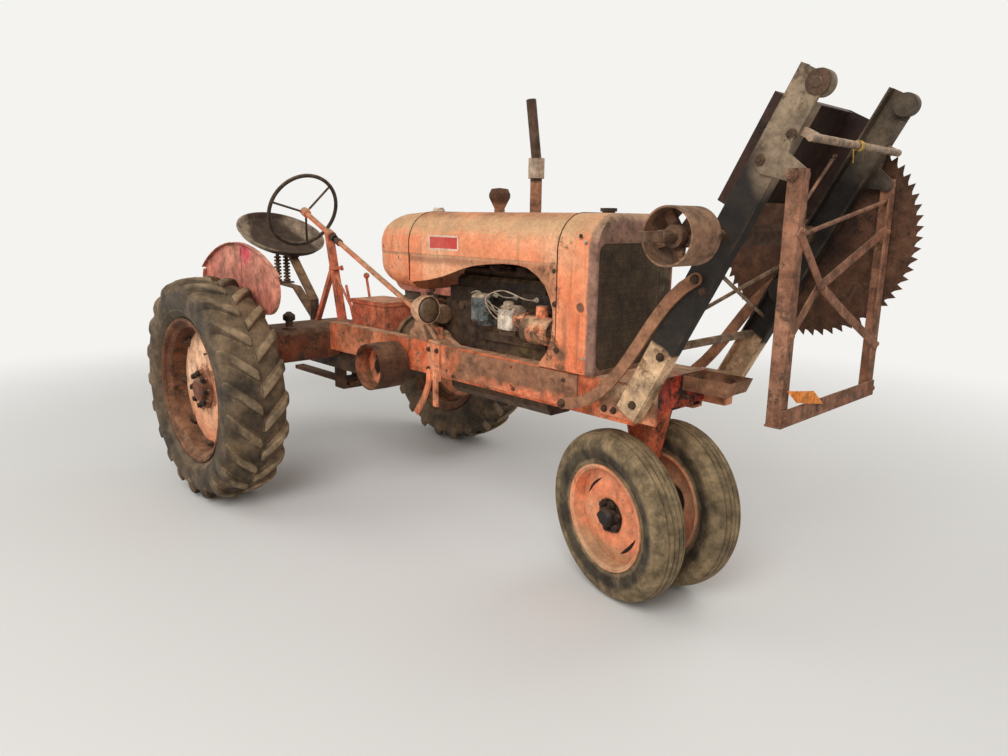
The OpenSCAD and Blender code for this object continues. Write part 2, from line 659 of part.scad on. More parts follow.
// Fenders: a flat panel with a rolled edge inside each rear tyre
fender_y = rear_half_tread - rear_tyre_w / 2 - 27;
fender_t = 4;
fender_r = 775;
fender_crease_x = 28;
module fender_outline(grow) {
    polygon(concat(arc([0, axle_z], fender_r + grow, 53, 127, 16),
        arc([-330, 1145], 130 + grow, 150, 262, 8), arc([330, 1145], 130 + grow, 278, 390, 8)));
}
module fender() {
    slab(-fender_y - fender_t, -fender_y) fender_outline(0);
    slab(-fender_y - 22, -fender_y - fender_t) difference() {
        fender_outline(0);
        fender_outline(-5);
    }
    block([-30, -sleeve_end_y + 14, rail_top - 28], [30, -sleeve_end_y + 24, 1100]);
    block([-30, -sleeve_end_y + 14, rail_top - 28], [30, -sleeve_end_y + 80, rail_top - 20]);
    block([-30, -fender_y, 1090], [30, -sleeve_end_y + 24, 1100]);
    block([-30, -fender_y, 1040], [30, -fender_y + 6, 1100]);
    slab(-fender_y - fender_t - 3, -fender_y - fender_t)
        translate([fender_crease_x, 1010]) square([5, 335]);
}
module fender_right() color("#a8574e") fender();
module fender_left() color("#a8574e") on_left() fender();

// Box on top of the case behind the tank
module tool_box() color(red_paint) {
    block([225, -110, case_top_z], [550, 110, 1050]);
    block([219, -116, 1034], [556, 116, 1057]);
}

// Gear lever and brake lever
module control_levers() color(red_paint) {
    block([150, 30, case_top_z], [210, 90, case_top_z + 18]);
    bar([180, 60, case_top_z + 10], [120, 60, 1160], 8);
    translate([120, 60, 1172]) sphere(r = 18, $fn = 24);
    block([150, -90, case_top_z], [200, -50, case_top_z + 14]);
    bar([178, -70, case_top_z + 8], [100, -70, 1120], 8);
}

// Drawbar and its two hangers under the axle casting
drawbar_z = 500;
drawbar_t = 25;
drawbar_pin_x = -600;
module drawbar() color(rust) difference() {
    union() {
        block([drawbar_pin_x - 40, -32, drawbar_z], [60, 32, drawbar_z + drawbar_t]);
        for (side = [-1, 1]) block([-60, side * 60 - 12, drawbar_z], [40, side * 60 + 12, case_low_z]);
        block([-60, -72, drawbar_z - 20], [40, 72, drawbar_z]);
        block([-60, -72, drawbar_z + drawbar_t], [40, 72, drawbar_z + drawbar_t + 15]);
    }
    translate([drawbar_pin_x, 0, drawbar_z - past]) cylinder(r = 13, h = drawbar_t + 2 * past, $fn = 32);
}

// Hangers for field tools on the outside of the rails
module hanger_set() {
    block([1105, -rail_half_w - 12, rail_bottom - 23], [1195, -rail_half_w, rail_top]);
    block([1160, -rail_half_w - 24, 620], [1190, -rail_half_w - 12, 800]);
    slab(-rail_half_w - 24, -rail_half_w - 12) polygon(strip([[1130, 800], [1120, 720], [1080, 640],
        [1020, 560]], 30));
}
module hanger_brackets() color(orange_paint) {
    hanger_set();
    on_left() hanger_set();
}

// Belt pulley and the case that carries it through the rail
pulley_x = 850;
pulley_z = 786;
pulley_case_r = 36;
pulley_far_y = rail_half_w + 20;
module pulley_housing() color(greasy_iron) {
    pin_y(pulley_x, pulley_z, -rail_half_w - 12, -168, pulley_case_r);
    pin_y(pulley_x, pulley_z, -pulley_far_y - pulley_w * 0.55, -rail_half_w - 12, 18);
}

module belt_pulley() color(rust) difference() {
    union() {
        translate([pulley_x, -pulley_far_y, pulley_z]) wheel_turned([[pulley_r - 7, 0],
            [pulley_r - 1, 0], [pulley_r + 1, pulley_w / 2],
            [pulley_r - 1, pulley_w], [pulley_r - 7, pulley_w]], 72);
        pin_y(pulley_x, pulley_z, -pulley_far_y - pulley_w * 0.5, -pulley_far_y - pulley_w * 0.4,
            pulley_r - 5, 48);
        pin_y(pulley_x, pulley_z, -pulley_far_y - pulley_w * 0.62, -pulley_far_y - pulley_w * 0.05, 34);
    }
    pin_y(pulley_x, pulley_z, -pulley_far_y - pulley_w * 0.56, -pulley_far_y + past, 18 + running);
    for (a = [0 : 72 : 288])
        pin_y(pulley_x + 66 * cos(a), pulley_z + 66 * sin(a), -pulley_far_y - pulley_w, -pulley_far_y, 22);
}

// Saw frame: everything on the beams is placed along the right beam from its lower bolt
beam_foot = [wheelbase + 125, 0, 860];
beam_depth = 45;
beam_in_y = rail_half_w + shoe_t;
left_in_y = beam_in_y + left_spacer;
beam_out_y = beam_in_y + beam_depth;
left_out_y = left_in_y + beam_depth;
beam_wall = 7;
arbor_s = 689;
arbor_off = -13;
pivot_off = 128;
pivot_s = 963;
bearing_r = 34;
ear_t = 10;
pivot_r = 10;
boss_r = 16;
boss_out_y = 340;
roller_r = 38;
module along_beam() translate(beam_foot) rotate([0, beam_lean, 0]) children();
function on_beam(off, s) = [beam_foot[0] + off * cos(beam_lean) + s * sin(beam_lean),
    beam_foot[2] - off * sin(beam_lean) + s * cos(beam_lean)];
arbor_x = on_beam(arbor_off, arbor_s)[0];
arbor_z = on_beam(arbor_off, arbor_s)[1];
pivot_x = on_beam(pivot_off, pivot_s)[0];
pivot_z = on_beam(pivot_off, pivot_s)[1];

// Beam that opens inwards, standing forward by some distance, with its face plate, roller and ear
module saw_beam(forward, in_y) {
    out_y = in_y + beam_depth;
    web_y = out_y - beam_wall;
    shift = forward * cos(beam_lean);
    drop = forward * sin(beam_lean);
    translate([forward, 0, 0]) along_beam() {
        difference() {
            block([-beam_w / 2, -out_y, -45], [beam_w / 2, -in_y, beam_len]);
            block([-beam_w / 2 + beam_wall, -web_y, -46],
                [beam_w / 2 - beam_wall, -in_y + past, beam_len + past]);
            block([10, -web_y, beam_len - 76], [beam_w / 2 + past, -in_y + past, beam_len + past]);
            pin_y(arbor_off - shift, arbor_s - drop, -out_y - past, -web_y + past, arbor_r + 5.5);
            pin_y(arbor_off - shift, arbor_s - drop, -web_y, -in_y + past, bearing_r + running);
        }
        block([-20, -out_y - 8, -40], [beam_w / 2 - 4, -out_y, 240]);
        pin_y(26, beam_len - 27, -web_y, -in_y - 6, roller_r);
        pin_y(26, beam_len - 27, -out_y - 10, -out_y, 14);
    }
    slab(-out_y - ear_t, -out_y) {
        polygon([on_beam(shift - 34, pivot_s - 34), on_beam(shift + 10, pivot_s - 52),
            on_beam(pivot_off - 22, pivot_s - 30),
            on_beam(pivot_off - 4, pivot_s - 23), on_beam(pivot_off + 4, pivot_s + 23),
            on_beam(shift + 60, pivot_s + 36),
            on_beam(shift + 44, pivot_s + 92), on_beam(shift + 8, pivot_s + 70), on_beam(shift - 34,
            pivot_s + 30)]);
        translate([pivot_x, pivot_z]) circle(r = 24, $fn = 32);
    }
}
module saw_beam_right() color(black_steel) {
    saw_beam(0, beam_in_y);
    pin_y(pivot_x, pivot_z, -boss_out_y + seat_gap, -beam_out_y - ear_t, boss_r);
    pin_y(pivot_x, pivot_z, -boss_out_y - 18, -boss_out_y + seat_gap, pivot_r);
}
module saw_beam_left() color(black_steel) {
    on_left() saw_beam(left_forward, left_in_y);
    pin_y(pivot_x, pivot_z, left_out_y + ear_t, left_out_y + ear_t + 14, pivot_r);
    translate([left_forward, 0, 0]) along_beam() pin_y(0, 460, left_in_y - 5, left_in_y, beam_w / 2 - 4);
}

// Guard behind the beams
guard_low = 768;
guard_high = 1123;
guard_off = -98;
guard_t = 4;
module saw_guard() color("#4c2a26") along_beam() {
    block([guard_off - guard_t, -beam_in_y - guard_t, guard_low],
        [guard_off, left_in_y + guard_t, guard_high]);
    block([guard_off, -beam_in_y - guard_t, guard_low], [-beam_w / 2, -beam_in_y, guard_high]);
    block([guard_off, left_in_y, guard_low], [left_forward * cos(beam_lean) - beam_w / 2,
        left_in_y + guard_t, guard_high]);
    block([guard_off, -beam_in_y, guard_high - guard_t], [guard_off + 32, beam_in_y, guard_high]);
}

// Rods and pipe between the beams
rod_off = 98;
rod_s = 1065;
rod_r = 12;
module saw_cross_bars() color(bare_steel) along_beam() {
    pin_y(rod_off, rod_s, -beam_out_y - 20, left_out_y + 20, rod_r);
    block([beam_w / 2, -beam_out_y + 16, rod_s - 13], [rod_off, -beam_out_y + 30, rod_s + 13]);
    block([beam_w / 2 + left_forward * cos(beam_lean), left_out_y - 30, rod_s - 13],
        [rod_off, left_out_y - 16, rod_s + 13]);
    pin_y(0, 250, -beam_out_y + beam_wall, left_out_y - beam_wall, 15);
    intersection() {
        union() {
            bar([-10, -300, 330], [-10, 345, 600], 7, 16);
            bar([8, 345, 330], [8, -300, 600], 7, 16);
        }
        block([-30, -beam_out_y + beam_wall, 300], [30, left_out_y - beam_wall, 660]);
    }
}

// Curved flat braces from the rails up to the beams
brace_low = [wheelbase - 200, 808];
brace_t = 10;
module saw_brace(forward, beam_face_y) {
    high = on_beam(-10, 530) + [forward, 0];
    slab(-beam_face_y - brace_t, -beam_face_y) {
        polygon(strip([for (i = [0 : 12])
            bezier([brace_low, brace_low + [295, 27], brace_low + [365, 422], high], i / 12)], 44));
        translate(brace_low) circle(r = 22, $fn = 32);
        translate(high) circle(r = 22, $fn = 32);
    }
    pin_y(brace_low[0], brace_low[1], -beam_face_y, -rail_half_w - plate_t, 14);
}
module saw_braces() color(rust) {
    saw_brace(0, beam_out_y);
    on_left() saw_brace(left_forward, left_out_y);
}

// Bearings for the arbor inside the beams
module arbor_bearing(in_y) difference() {
    pin_y(arbor_x, arbor_z, -in_y - beam_depth + beam_wall, -in_y, bearing_r, 48);
    pin_y(arbor_x, arbor_z, -in_y - beam_depth, -in_y + past, arbor_r + running, 48);
}
module arbor_bearings() color(greasy_iron) {
    arbor_bearing(beam_in_y);
    on_left() arbor_bearing(left_in_y);
}

// Arbor with the drive pulley, the drum and the blade's collars
saw_pulley_far_y = -430;
blade_y = left_out_y + 38;
drum_r = 36;
collar_r = 60;
spoke_half_w = 17;
module saw_arbor() color(rust) {
    pin_y(arbor_x, arbor_z, saw_pulley_far_y - saw_pulley_w - 10, blade_y - 8, arbor_r, 48);
    pin_y(arbor_x, arbor_z, -200, 200, drum_r, 48);
    pin_y(arbor_x, arbor_z, blade_y - 18, blade_y, collar_r, 48);
    translate([arbor_x, saw_pulley_far_y, arbor_z]) {
        wheel_turned([[saw_pulley_r - 6, 0], [saw_pulley_r, 0], [saw_pulley_r, saw_pulley_w],
            [saw_pulley_r - 6, saw_pulley_w]], 72);
        wheel_turned([[arbor_r - 2, saw_pulley_w * 0.15], [34, saw_pulley_w * 0.15],
            [34, saw_pulley_w * 0.8],
            [arbor_r - 2, saw_pulley_w * 0.8]], 48);
        for (a = [20 : 72 : 308]) rotate([0, a, 0])
            block([26, -saw_pulley_w * 0.56, -spoke_half_w],
            [saw_pulley_r - 3, -saw_pulley_w * 0.46, spoke_half_w]);
    }
}

// Blade with raked teeth, its outer collar and nut
tooth_h = 24;
module saw_blade() color("#5c3a2c") {
    step = 360 / tooth_count;
    translate([arbor_x, 0, arbor_z]) slab(blade_y, blade_y + blade_t)
        polygon([for (i = [0 : tooth_count - 1]) each [
        blade_r * [cos(i * step), sin(i * step)],
        (blade_r - tooth_h) * [cos((i + 0.12) * step), sin((i + 0.12) * step)],
        (blade_r - tooth_h * 0.8) * [cos((i + 0.45) * step), sin((i + 0.45) * step)]]]);
    pin_y(arbor_x, arbor_z, blade_y + blade_t, blade_y + blade_t + 14, collar_r, 48);
    pin_y(arbor_x, arbor_z, blade_y + blade_t + 14, blade_y + blade_t + 30, 26, 6);
}

// Carriage that hangs from the ears: two angle irons, a sill, crossed straps and a stay
iron_w = 46;
iron_leg = 41;
iron_t = 6;
strap_w = 30;
strap_t = 5;
iron_rear_x = pivot_x - 18;
iron_front_x = iron_rear_x + iron_w;
iron_top_z = pivot_z + 18;
sill_z = pivot_z - carriage_drop;
right_web_y = -boss_out_y;
left_web_y = left_out_y + ear_t + seat_gap;
module log_carriage() color(rust) difference() {
    union() {
        block([iron_rear_x, right_web_y - iron_t, sill_z], [iron_front_x, right_web_y, iron_top_z]);
        block([iron_front_x - iron_t, right_web_y - iron_t, sill_z],
            [iron_front_x, right_web_y - iron_t + iron_leg, iron_top_z]);
        block([iron_rear_x, left_web_y, sill_z], [iron_front_x, left_web_y + iron_t, iron_top_z]);
        block([iron_front_x - iron_t, left_web_y + iron_t - iron_leg, sill_z],
            [iron_front_x, left_web_y + iron_t, pivot_z - 34]);
        block([iron_front_x, right_web_y - 14, sill_z],
            [iron_front_x + iron_t, left_web_y + iron_t, sill_z + 48]);
        block([iron_rear_x, right_web_y - 14, sill_z - iron_t],
            [iron_front_x + iron_t, left_web_y + iron_t, sill_z]);
        run(iron_front_x, iron_front_x + strap_t)
            polygon(strip([[right_web_y, pivot_z - 155], [-165, pivot_z - 320],
            [20, pivot_z - 412], [left_web_y, pivot_z - 560]], strap_w));
        run(iron_front_x - iron_t - strap_t, iron_front_x - iron_t)
            polygon(strip([[left_web_y, pivot_z - 150],
            [60, pivot_z - 250], [-165, pivot_z - 330], [right_web_y + 2, pivot_z - 485]], strap_w));
        pin_x(-165, pivot_z - 325, iron_front_x - iron_t - strap_t, iron_front_x + strap_t, 8);
        bar([pivot_x + 8, right_web_y - 2, pivot_z - 178], [pivot_x + 8, left_web_y + 2, pivot_z - 54], 7);
    }
    pin_y(pivot_x, pivot_z, right_web_y - iron_t - past, right_web_y + past, pivot_r + running);
    pin_y(pivot_x, pivot_z, left_web_y - past, left_web_y + iron_t + past, pivot_r + running);
}

// Rusty tray with a sloping front wall, bolted to the front of the bolster
tray_rear_x = rail_front_x + front_plate_t;
tray_t = 4;
tray_in_y = 70;
tray_low_z = rail_top - 63;
tray_high_z = rail_top - 5;
module front_tray() color(rust) difference() {
    slab(tray_in_y, rail_half_w) polygon([[tray_rear_x, tray_low_z], [tray_rear_x + 185, tray_low_z],
        [tray_rear_x + 210, tray_high_z], [tray_rear_x, tray_high_z]]);
    slab(tray_in_y + tray_t, rail_half_w - tray_t) polygon([[tray_rear_x + tray_t, tray_low_z + tray_t],
        [tray_rear_x + 185 - tray_t, tray_low_z + tray_t], [tray_rear_x + 210 - tray_t, tray_high_z + past],
        [tray_rear_x + tray_t, tray_high_z + past]]);
}

// Front wheels lean outwards about the steering axis, which is turned as parked
// Columns: distance from the tyre's middle, radius below the crown
front_tread = [[0, 0], [8, 0], [9, 6], [14, 6], [15, 1], [32, 3], [33, 9], [38, 10], [39, 5], [52, 12]];
function front_contact(c) = max([for (p = front_tread) (front_tyre_r - p[1]) * cos(c) + p[0] * sin(c)]);
front_axle_z = front_contact(front_camber);
module turned_front() translate([wheelbase, 0, 0]) rotate([0, 0, parked_turn]) children();
module leaned_right() turned_front() translate([0, -front_half_tread, front_axle_z])
    rotate([front_camber, 0, 0]) children();
module leaned_left() turned_front() translate([0, front_half_tread, front_axle_z])
    rotate([-front_camber, 0, 0]) mirror([0, 1, 0]) children();

module front_spindle() color(greasy_iron) {
    turned_front() {
        translate([0, 0, 340]) cylinder(r = kingpin_r, h = 400, $fn = 48);
        translate([0, 0, front_axle_z - 60])
            cylinder(r = 46, h = pedestal_low_z - seat_gap - front_axle_z + 60, $fn = 48);
    }
    leaned_right() pin_y(0, 0, -62, front_half_tread - 20, stub_r);
    leaned_left() pin_y(0, 0, -62, front_half_tread - 20, stub_r);
}

module front_wheel() difference() {
    union() {
        wheel_turned([[front_rim_r - 10, -66], [front_rim_r, -66], [front_rim_r, -60],
            [front_rim_r - 13, -58], [front_rim_r - 13, 58],
            [front_rim_r, 60], [front_rim_r, 66], [front_rim_r - 10, 66], [front_rim_r - 20, 58],
            [front_rim_r - 20, -58]]);
        wheel_turned([[40, 18], [90, 30], [130, 30], [front_rim_r - 18, 6], [front_rim_r - 18, 0],
            [128, 24], [92, 24], [40, 12]]);
        wheel_turned([[stub_r - 4, -42], [44, -42], [48, 10], [62, 12], [62, 26], [44, 28], [40, 54],
            [30, 66], [0, 66], [0, 62], [stub_r - 4, 62]]);
        for (a = [0 : 60 : 300]) rotate([0, a, 0]) pin_y(52, 0, -38, -24, 7, 16);
    }
    pin_y(0, 0, -62 - running, 43, stub_r + running, 48);
}
module front_wheel_right() color(orange_paint) leaned_right() front_wheel();
module front_wheel_left() color(orange_paint) leaned_left() front_wheel();

module front_tyre() {
    w = front_tyre_w / 2;
    half = concat([for (p = front_tread) [front_tyre_r - p[1], p[0]]],
        [[front_tyre_r - 24, w - 10], [front_tyre_r - 52, w], [front_tyre_r - 90, w - 3],
        [front_rim_r + 6, w - 16],
         [front_rim_r + 1, w - 16.2], [front_rim_r - 12.7, 57.5]]);
    wheel_turned(concat(half, [for (i = [len(half) - 1 : -1 : 1]) [half[i][0], -half[i][1]]]), 128);
}
module front_tyre_right() color(rubber_black) leaned_right() front_tyre();
module front_tyre_left() color(rubber_black) leaned_left() front_tyre();

// Rear wheels: deep rim, dished disc and bolted hub
module rear_wheel() difference() {
    union() {
        wheel_turned([[rear_rim_r - 14, -136], [rear_rim_r, -136], [rear_rim_r, -128],
            [rear_rim_r - 24, -124], [rear_rim_r - 24, 124],
            [rear_rim_r, 128], [rear_rim_r, 136], [rear_rim_r - 14, 136], [rear_rim_r - 31, 110],
            [rear_rim_r - 50, 96],
            [rear_rim_r - 50, 20], [rear_rim_r - 58, 16], [rear_rim_r - 58, -16], [rear_rim_r - 50, -20],
            [rear_rim_r - 50, -96], [rear_rim_r - 31, -110]]);
        wheel_turned([[60, 42], [120, 46], [220, 44], [rear_rim_r - 70, 26], [rear_rim_r - 56, 10],
            [rear_rim_r - 56, 2],
            [rear_rim_r - 76, 18], [220, 36], [120, 38], [60, 34]]);
        wheel_turned([[rear_axle_r - 4, -69.5], [70, -69.5], [78, 20], [104, 34], [104, 58], [66, 62],
            [62, 88], [48, 96], [0, 96], [0, 86], [rear_axle_r - 4, 86]]);
        for (a = [0 : 45 : 315]) rotate([0, a, 0]) pin_y(86, 0, -76, -56, 12, 16);
    }
    pin_y(0, 0, -88, 71, rear_axle_r + running, 48);
}
module rear_wheel_right() color(orange_paint) translate([0, -rear_half_tread, axle_z]) rear_wheel();
module rear_wheel_left() color(orange_paint) translate([0, rear_half_tread, axle_z])
    mirror([0, 1, 0]) rear_wheel();

// Rear tyre: a ring of slanted columns, four to each pitch of the lugs
// Columns: distance from the middle as a share of half the width, radius of the tread, radius on a lug
tread_rows = [[0.07, -lug_h, 0], [0.5, -lug_h - 6, -3], [0.87, -lug_h - 24, -14], [0.98, -lug_h - 54, -62]];
wall_rows = [[1, -118], [0.95, -168]];
lug_skew = 14;
bead_half_w = 122;
bead_r = rear_rim_r - 24 + 0.6;
function lug_on(col, side) = side > 0 ? (col % 4 == 1 || col % 4 == 2) : (col % 4 == 3 || col % 4 == 0);
function tread_point(col, k, side) =
    let (row = tread_rows[k], y = row[0] * rear_tyre_w / 2, a = col * 90 / lug_count + lug_skew * row[0],
        r = rear_tyre_r + (lug_on(col, side) ? row[2] : row[1]))
    [r * cos(a), side * y, r * sin(a)];
function plain_point(col, y, r, skew) = let (a = col * 90 / lug_count + skew) [r * cos(a), y, r * sin(a)];
function tyre_column(col) = concat(
    [plain_point(col, -bead_half_w, bead_r, lug_skew)],
    [plain_point(col, -bead_half_w - 2, rear_rim_r + 4, lug_skew)],
    [for (i = [len(wall_rows) - 1 : -1 : 0]) plain_point(col, -wall_rows[i][0] * rear_tyre_w / 2,
    rear_tyre_r + wall_rows[i][1], lug_skew)],
    [for (k = [len(tread_rows) - 1 : -1 : 0]) tread_point(col, k, -1)],
    [for (k = [0 : len(tread_rows) - 1]) tread_point(col, k, 1)],
    [for (i = [0 : len(wall_rows) - 1]) plain_point(col, wall_rows[i][0] * rear_tyre_w / 2,
    rear_tyre_r + wall_rows[i][1], lug_skew)],
    [plain_point(col, bead_half_w + 2, rear_rim_r + 4, lug_skew)],
    [plain_point(col, bead_half_w, bead_r, lug_skew)]);
module rear_tyre() {
    columns = [for (c = [0 : 4 * lug_count - 1]) tyre_column(c)];
    n = len(columns[0]);
    m = len(columns);
    polyhedron(points = [for (c = columns, p = c) p], faces = [for (c = [0 : m - 1], i = [0 : n - 1])
        each [[c * n + i, ((c + 1) % m) * n + i, c * n + (i + 1) % n],
            [((c + 1) % m) * n + i, ((c + 1) % m) * n + (i + 1) % n, c * n + (i + 1) % n]]]);
}
module rear_tyre_right() color(rubber_black) translate([0, -rear_half_tread, axle_z]) rear_tyre();
module rear_tyre_left() color(rubber_black) translate([0, rear_half_tread, axle_z]) rear_tyre();

// Middle of the whole machine along X, between the seat's rim and the blade's teeth
rear_reach = seat_x - (seat_r + 8) * cos(seat_tilt) - 8 * sin(seat_tilt);
front_reach = arbor_x + blade_r;
origin_x = (front_reach + rear_reach) / 2;
module place() translate([-origin_x, 0, 0]) children();

place() frame_rail_right();
place() frame_rail_left();
place() side_plates();
place() front_bolster();
place() transmission_case();
place() final_drive_right();
place() final_drive_left();
place() engine_block();
place() oil_pan();
place() manifold();
place() exhaust_stack();
place() air_cleaner();
place() magneto();
place() generator();
place() oil_filter();
place() cooling_fan();
place() radiator_core();
place() radiator_shell();
place() grille();
place() fuel_tank();
place() fuel_cap();
place() hood();
place() head_lamp();
place() steering_post();
place() shaft_bracket();
place() steering_wheel();
place() steering_shaft();
place() steering_relay();
place() seat_pan();
place() seat_support();
place() fender_right();
place() fender_left();
place() tool_box();
place() control_levers();
place() drawbar();
place() hanger_brackets();
place() pulley_housing();
place() belt_pulley();
place() saw_beam_right();
place() saw_beam_left();
place() saw_guard();
place() saw_cross_bars();
place() saw_braces();
place() arbor_bearings();
place() saw_arbor();
place() saw_blade();
place() log_carriage();
place() front_tray();
place() front_spindle();
place() front_wheel_right();
place() front_wheel_left();
place() front_tyre_right();
place() front_tyre_left();
place() rear_wheel_right();
place() rear_wheel_left();
place() rear_tyre_right();
place() rear_tyre_left();
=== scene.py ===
import math

import bpy
import bmesh
from mathutils import Matrix, Vector


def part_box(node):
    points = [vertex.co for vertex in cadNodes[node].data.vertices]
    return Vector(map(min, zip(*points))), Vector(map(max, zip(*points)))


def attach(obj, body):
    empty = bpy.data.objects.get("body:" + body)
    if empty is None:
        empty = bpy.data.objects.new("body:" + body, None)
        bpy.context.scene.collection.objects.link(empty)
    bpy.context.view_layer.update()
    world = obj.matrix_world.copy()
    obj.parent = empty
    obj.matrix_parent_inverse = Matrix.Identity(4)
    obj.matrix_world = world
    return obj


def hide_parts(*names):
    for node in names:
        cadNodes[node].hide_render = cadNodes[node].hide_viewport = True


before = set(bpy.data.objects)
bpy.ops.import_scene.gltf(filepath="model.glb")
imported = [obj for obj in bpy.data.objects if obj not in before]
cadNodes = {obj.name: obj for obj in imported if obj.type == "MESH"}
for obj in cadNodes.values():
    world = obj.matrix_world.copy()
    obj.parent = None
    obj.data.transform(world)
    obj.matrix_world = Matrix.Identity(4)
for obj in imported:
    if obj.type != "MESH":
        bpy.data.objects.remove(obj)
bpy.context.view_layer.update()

# Places are counted in metres from the rear axle, as on the tractor itself
wheelLow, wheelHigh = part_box("rear_wheel_right")
axleX = (wheelLow.x + wheelHigh.x) / 2
tractor, rearRight, rearLeft = "tractor", "rear_wheel_right_body", "rear_wheel_left_body"
frontRight, frontLeft = "front_wheel_right_body", "front_wheel_left_body"
rearSides = (("Right", rearRight, -1), ("Left", rearLeft, 1))
frontSides = (("Right", frontRight, -1), ("Left", frontLeft, 1))


def fromAxle(x, y, z):
    return Vector((x + axleX, y, z))


def colour(red, green, blue):  # 0 to 255 as seen on a screen
    def straight(value):
        value = value / 255
        return value / 12.92 if value <= 0.04045 else ((value + 0.055) / 1.055) ** 2.4
    return (straight(red), straight(green), straight(blue), 1.0)


# Reference lines of the machine, used by the finishes and the fittings
sizes = {"wheelbase": 2.235, "rearTread": 0.855, "axleHeight": 0.600, "parkedTurn": -12.0, "camber": 2.9,
        "hoodHalf": 0.250, "hoodTop": 1.545, "hoodCorner": 0.150, "crease": 1.352, "strap": 0.970, "shellRear": 1.945,
        "shellFront": 2.145, "railHalf": 0.235, "plate": 0.008}
beam = {"foot": (2.360, 0.860), "lean": 28.0, "outRight": -0.290, "leftForward": 0.028}


def onBeam(across, along, y, forward=0.0):
    # a place counted along the leaning beams from their lower bolt
    lean = math.radians(beam["lean"])
    return fromAxle(beam["foot"][0] + forward + across * math.cos(lean) + along * math.sin(lean), y,
            beam["foot"][1] - across * math.sin(lean) + along * math.cos(lean))


beamWay = Vector((math.sin(math.radians(beam["lean"])), 0, math.cos(math.radians(beam["lean"]))))
arborPlace = onBeam(-0.013, 0.689, 0.0)
pivotPlace = onBeam(0.128, 0.963, 0.0)
rodPlace = onBeam(0.098, 1.065, 0.0)
wheelHub = fromAxle(-0.500, 0, 1.550)
jointPlace = fromAxle(-0.106, 0, 1.374)
columnWay = (jointPlace - wheelHub).normalized()


def frontHub(side):
    # middle and outward axis of a front wheel as it is parked
    turn = Matrix.Rotation(math.radians(sizes["parkedTurn"]), 3, "Z")
    lean = Matrix.Rotation(math.radians(sizes["camber"]) * -side, 3, "X")
    low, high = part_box("front_wheel_left" if side > 0 else "front_wheel_right")
    return (low + high) / 2, turn @ lean @ Vector((0, side, 0))


# Helpers for node trees
def addNode(tree, kind, inputs=None, **settings):
    node = tree.nodes.new(kind)
    for name, value in settings.items():
        setattr(node, name, value)
    for name, value in (inputs or {}).items():
        if isinstance(value, bpy.types.NodeSocket):
            tree.links.new(value, node.inputs[name])
        else:
            node.inputs[name].default_value = value
    return node


def maths(tree, operation, a, b=None, c=None, clamp=False):
    values = {0: a}
    if b is not None:
        values[1] = b
    if c is not None:
        values[2] = c
    return addNode(tree, "ShaderNodeMath", values, operation=operation, use_clamp=clamp).outputs[0]


def vectors(tree, operation, a, b=None, answer="Vector"):
    values = {0: a}
    if b is not None:
        values["Scale" if operation == "SCALE" else 1] = b
    return addNode(tree, "ShaderNodeVectorMath", values, operation=operation).outputs[answer]


def ramp(tree, value, low, high, toLow=0.0, toHigh=1.0):
    return addNode(tree, "ShaderNodeMapRange", {"Value": value, "From Min": low, "From Max": high, "To Min": toLow,
            "To Max": toHigh}, interpolation_type="SMOOTHSTEP").outputs["Result"]


def mixColours(tree, factor, a, b, blend="MIX"):
    node = addNode(tree, "ShaderNodeMix", data_type="RGBA", blend_type=blend, clamp_factor=True)
    for socket, value in ((node.inputs[0], factor), (node.inputs[6], a), (node.inputs[7], b)):
        if isinstance(value, bpy.types.NodeSocket):
            tree.links.new(value, socket)
        else:
            socket.default_value = value
    return node.outputs[2]


def noise(tree, vector, scale, detail=4.0, roughness=0.55, distortion=0.0):
    return addNode(tree, "ShaderNodeTexNoise", {"Vector": vector, "Scale": scale, "Detail": detail,
            "Roughness": roughness, "Distortion": distortion}).outputs["Fac"]


def groupSockets(group, inputs, outputs):
    for name, kind, default in inputs:
        socket = group.interface.new_socket(name, in_out="INPUT", socket_type=kind)
        if default is not None:
            socket.default_value = default
    for name, kind in outputs:
        group.interface.new_socket(name, in_out="OUTPUT", socket_type=kind)


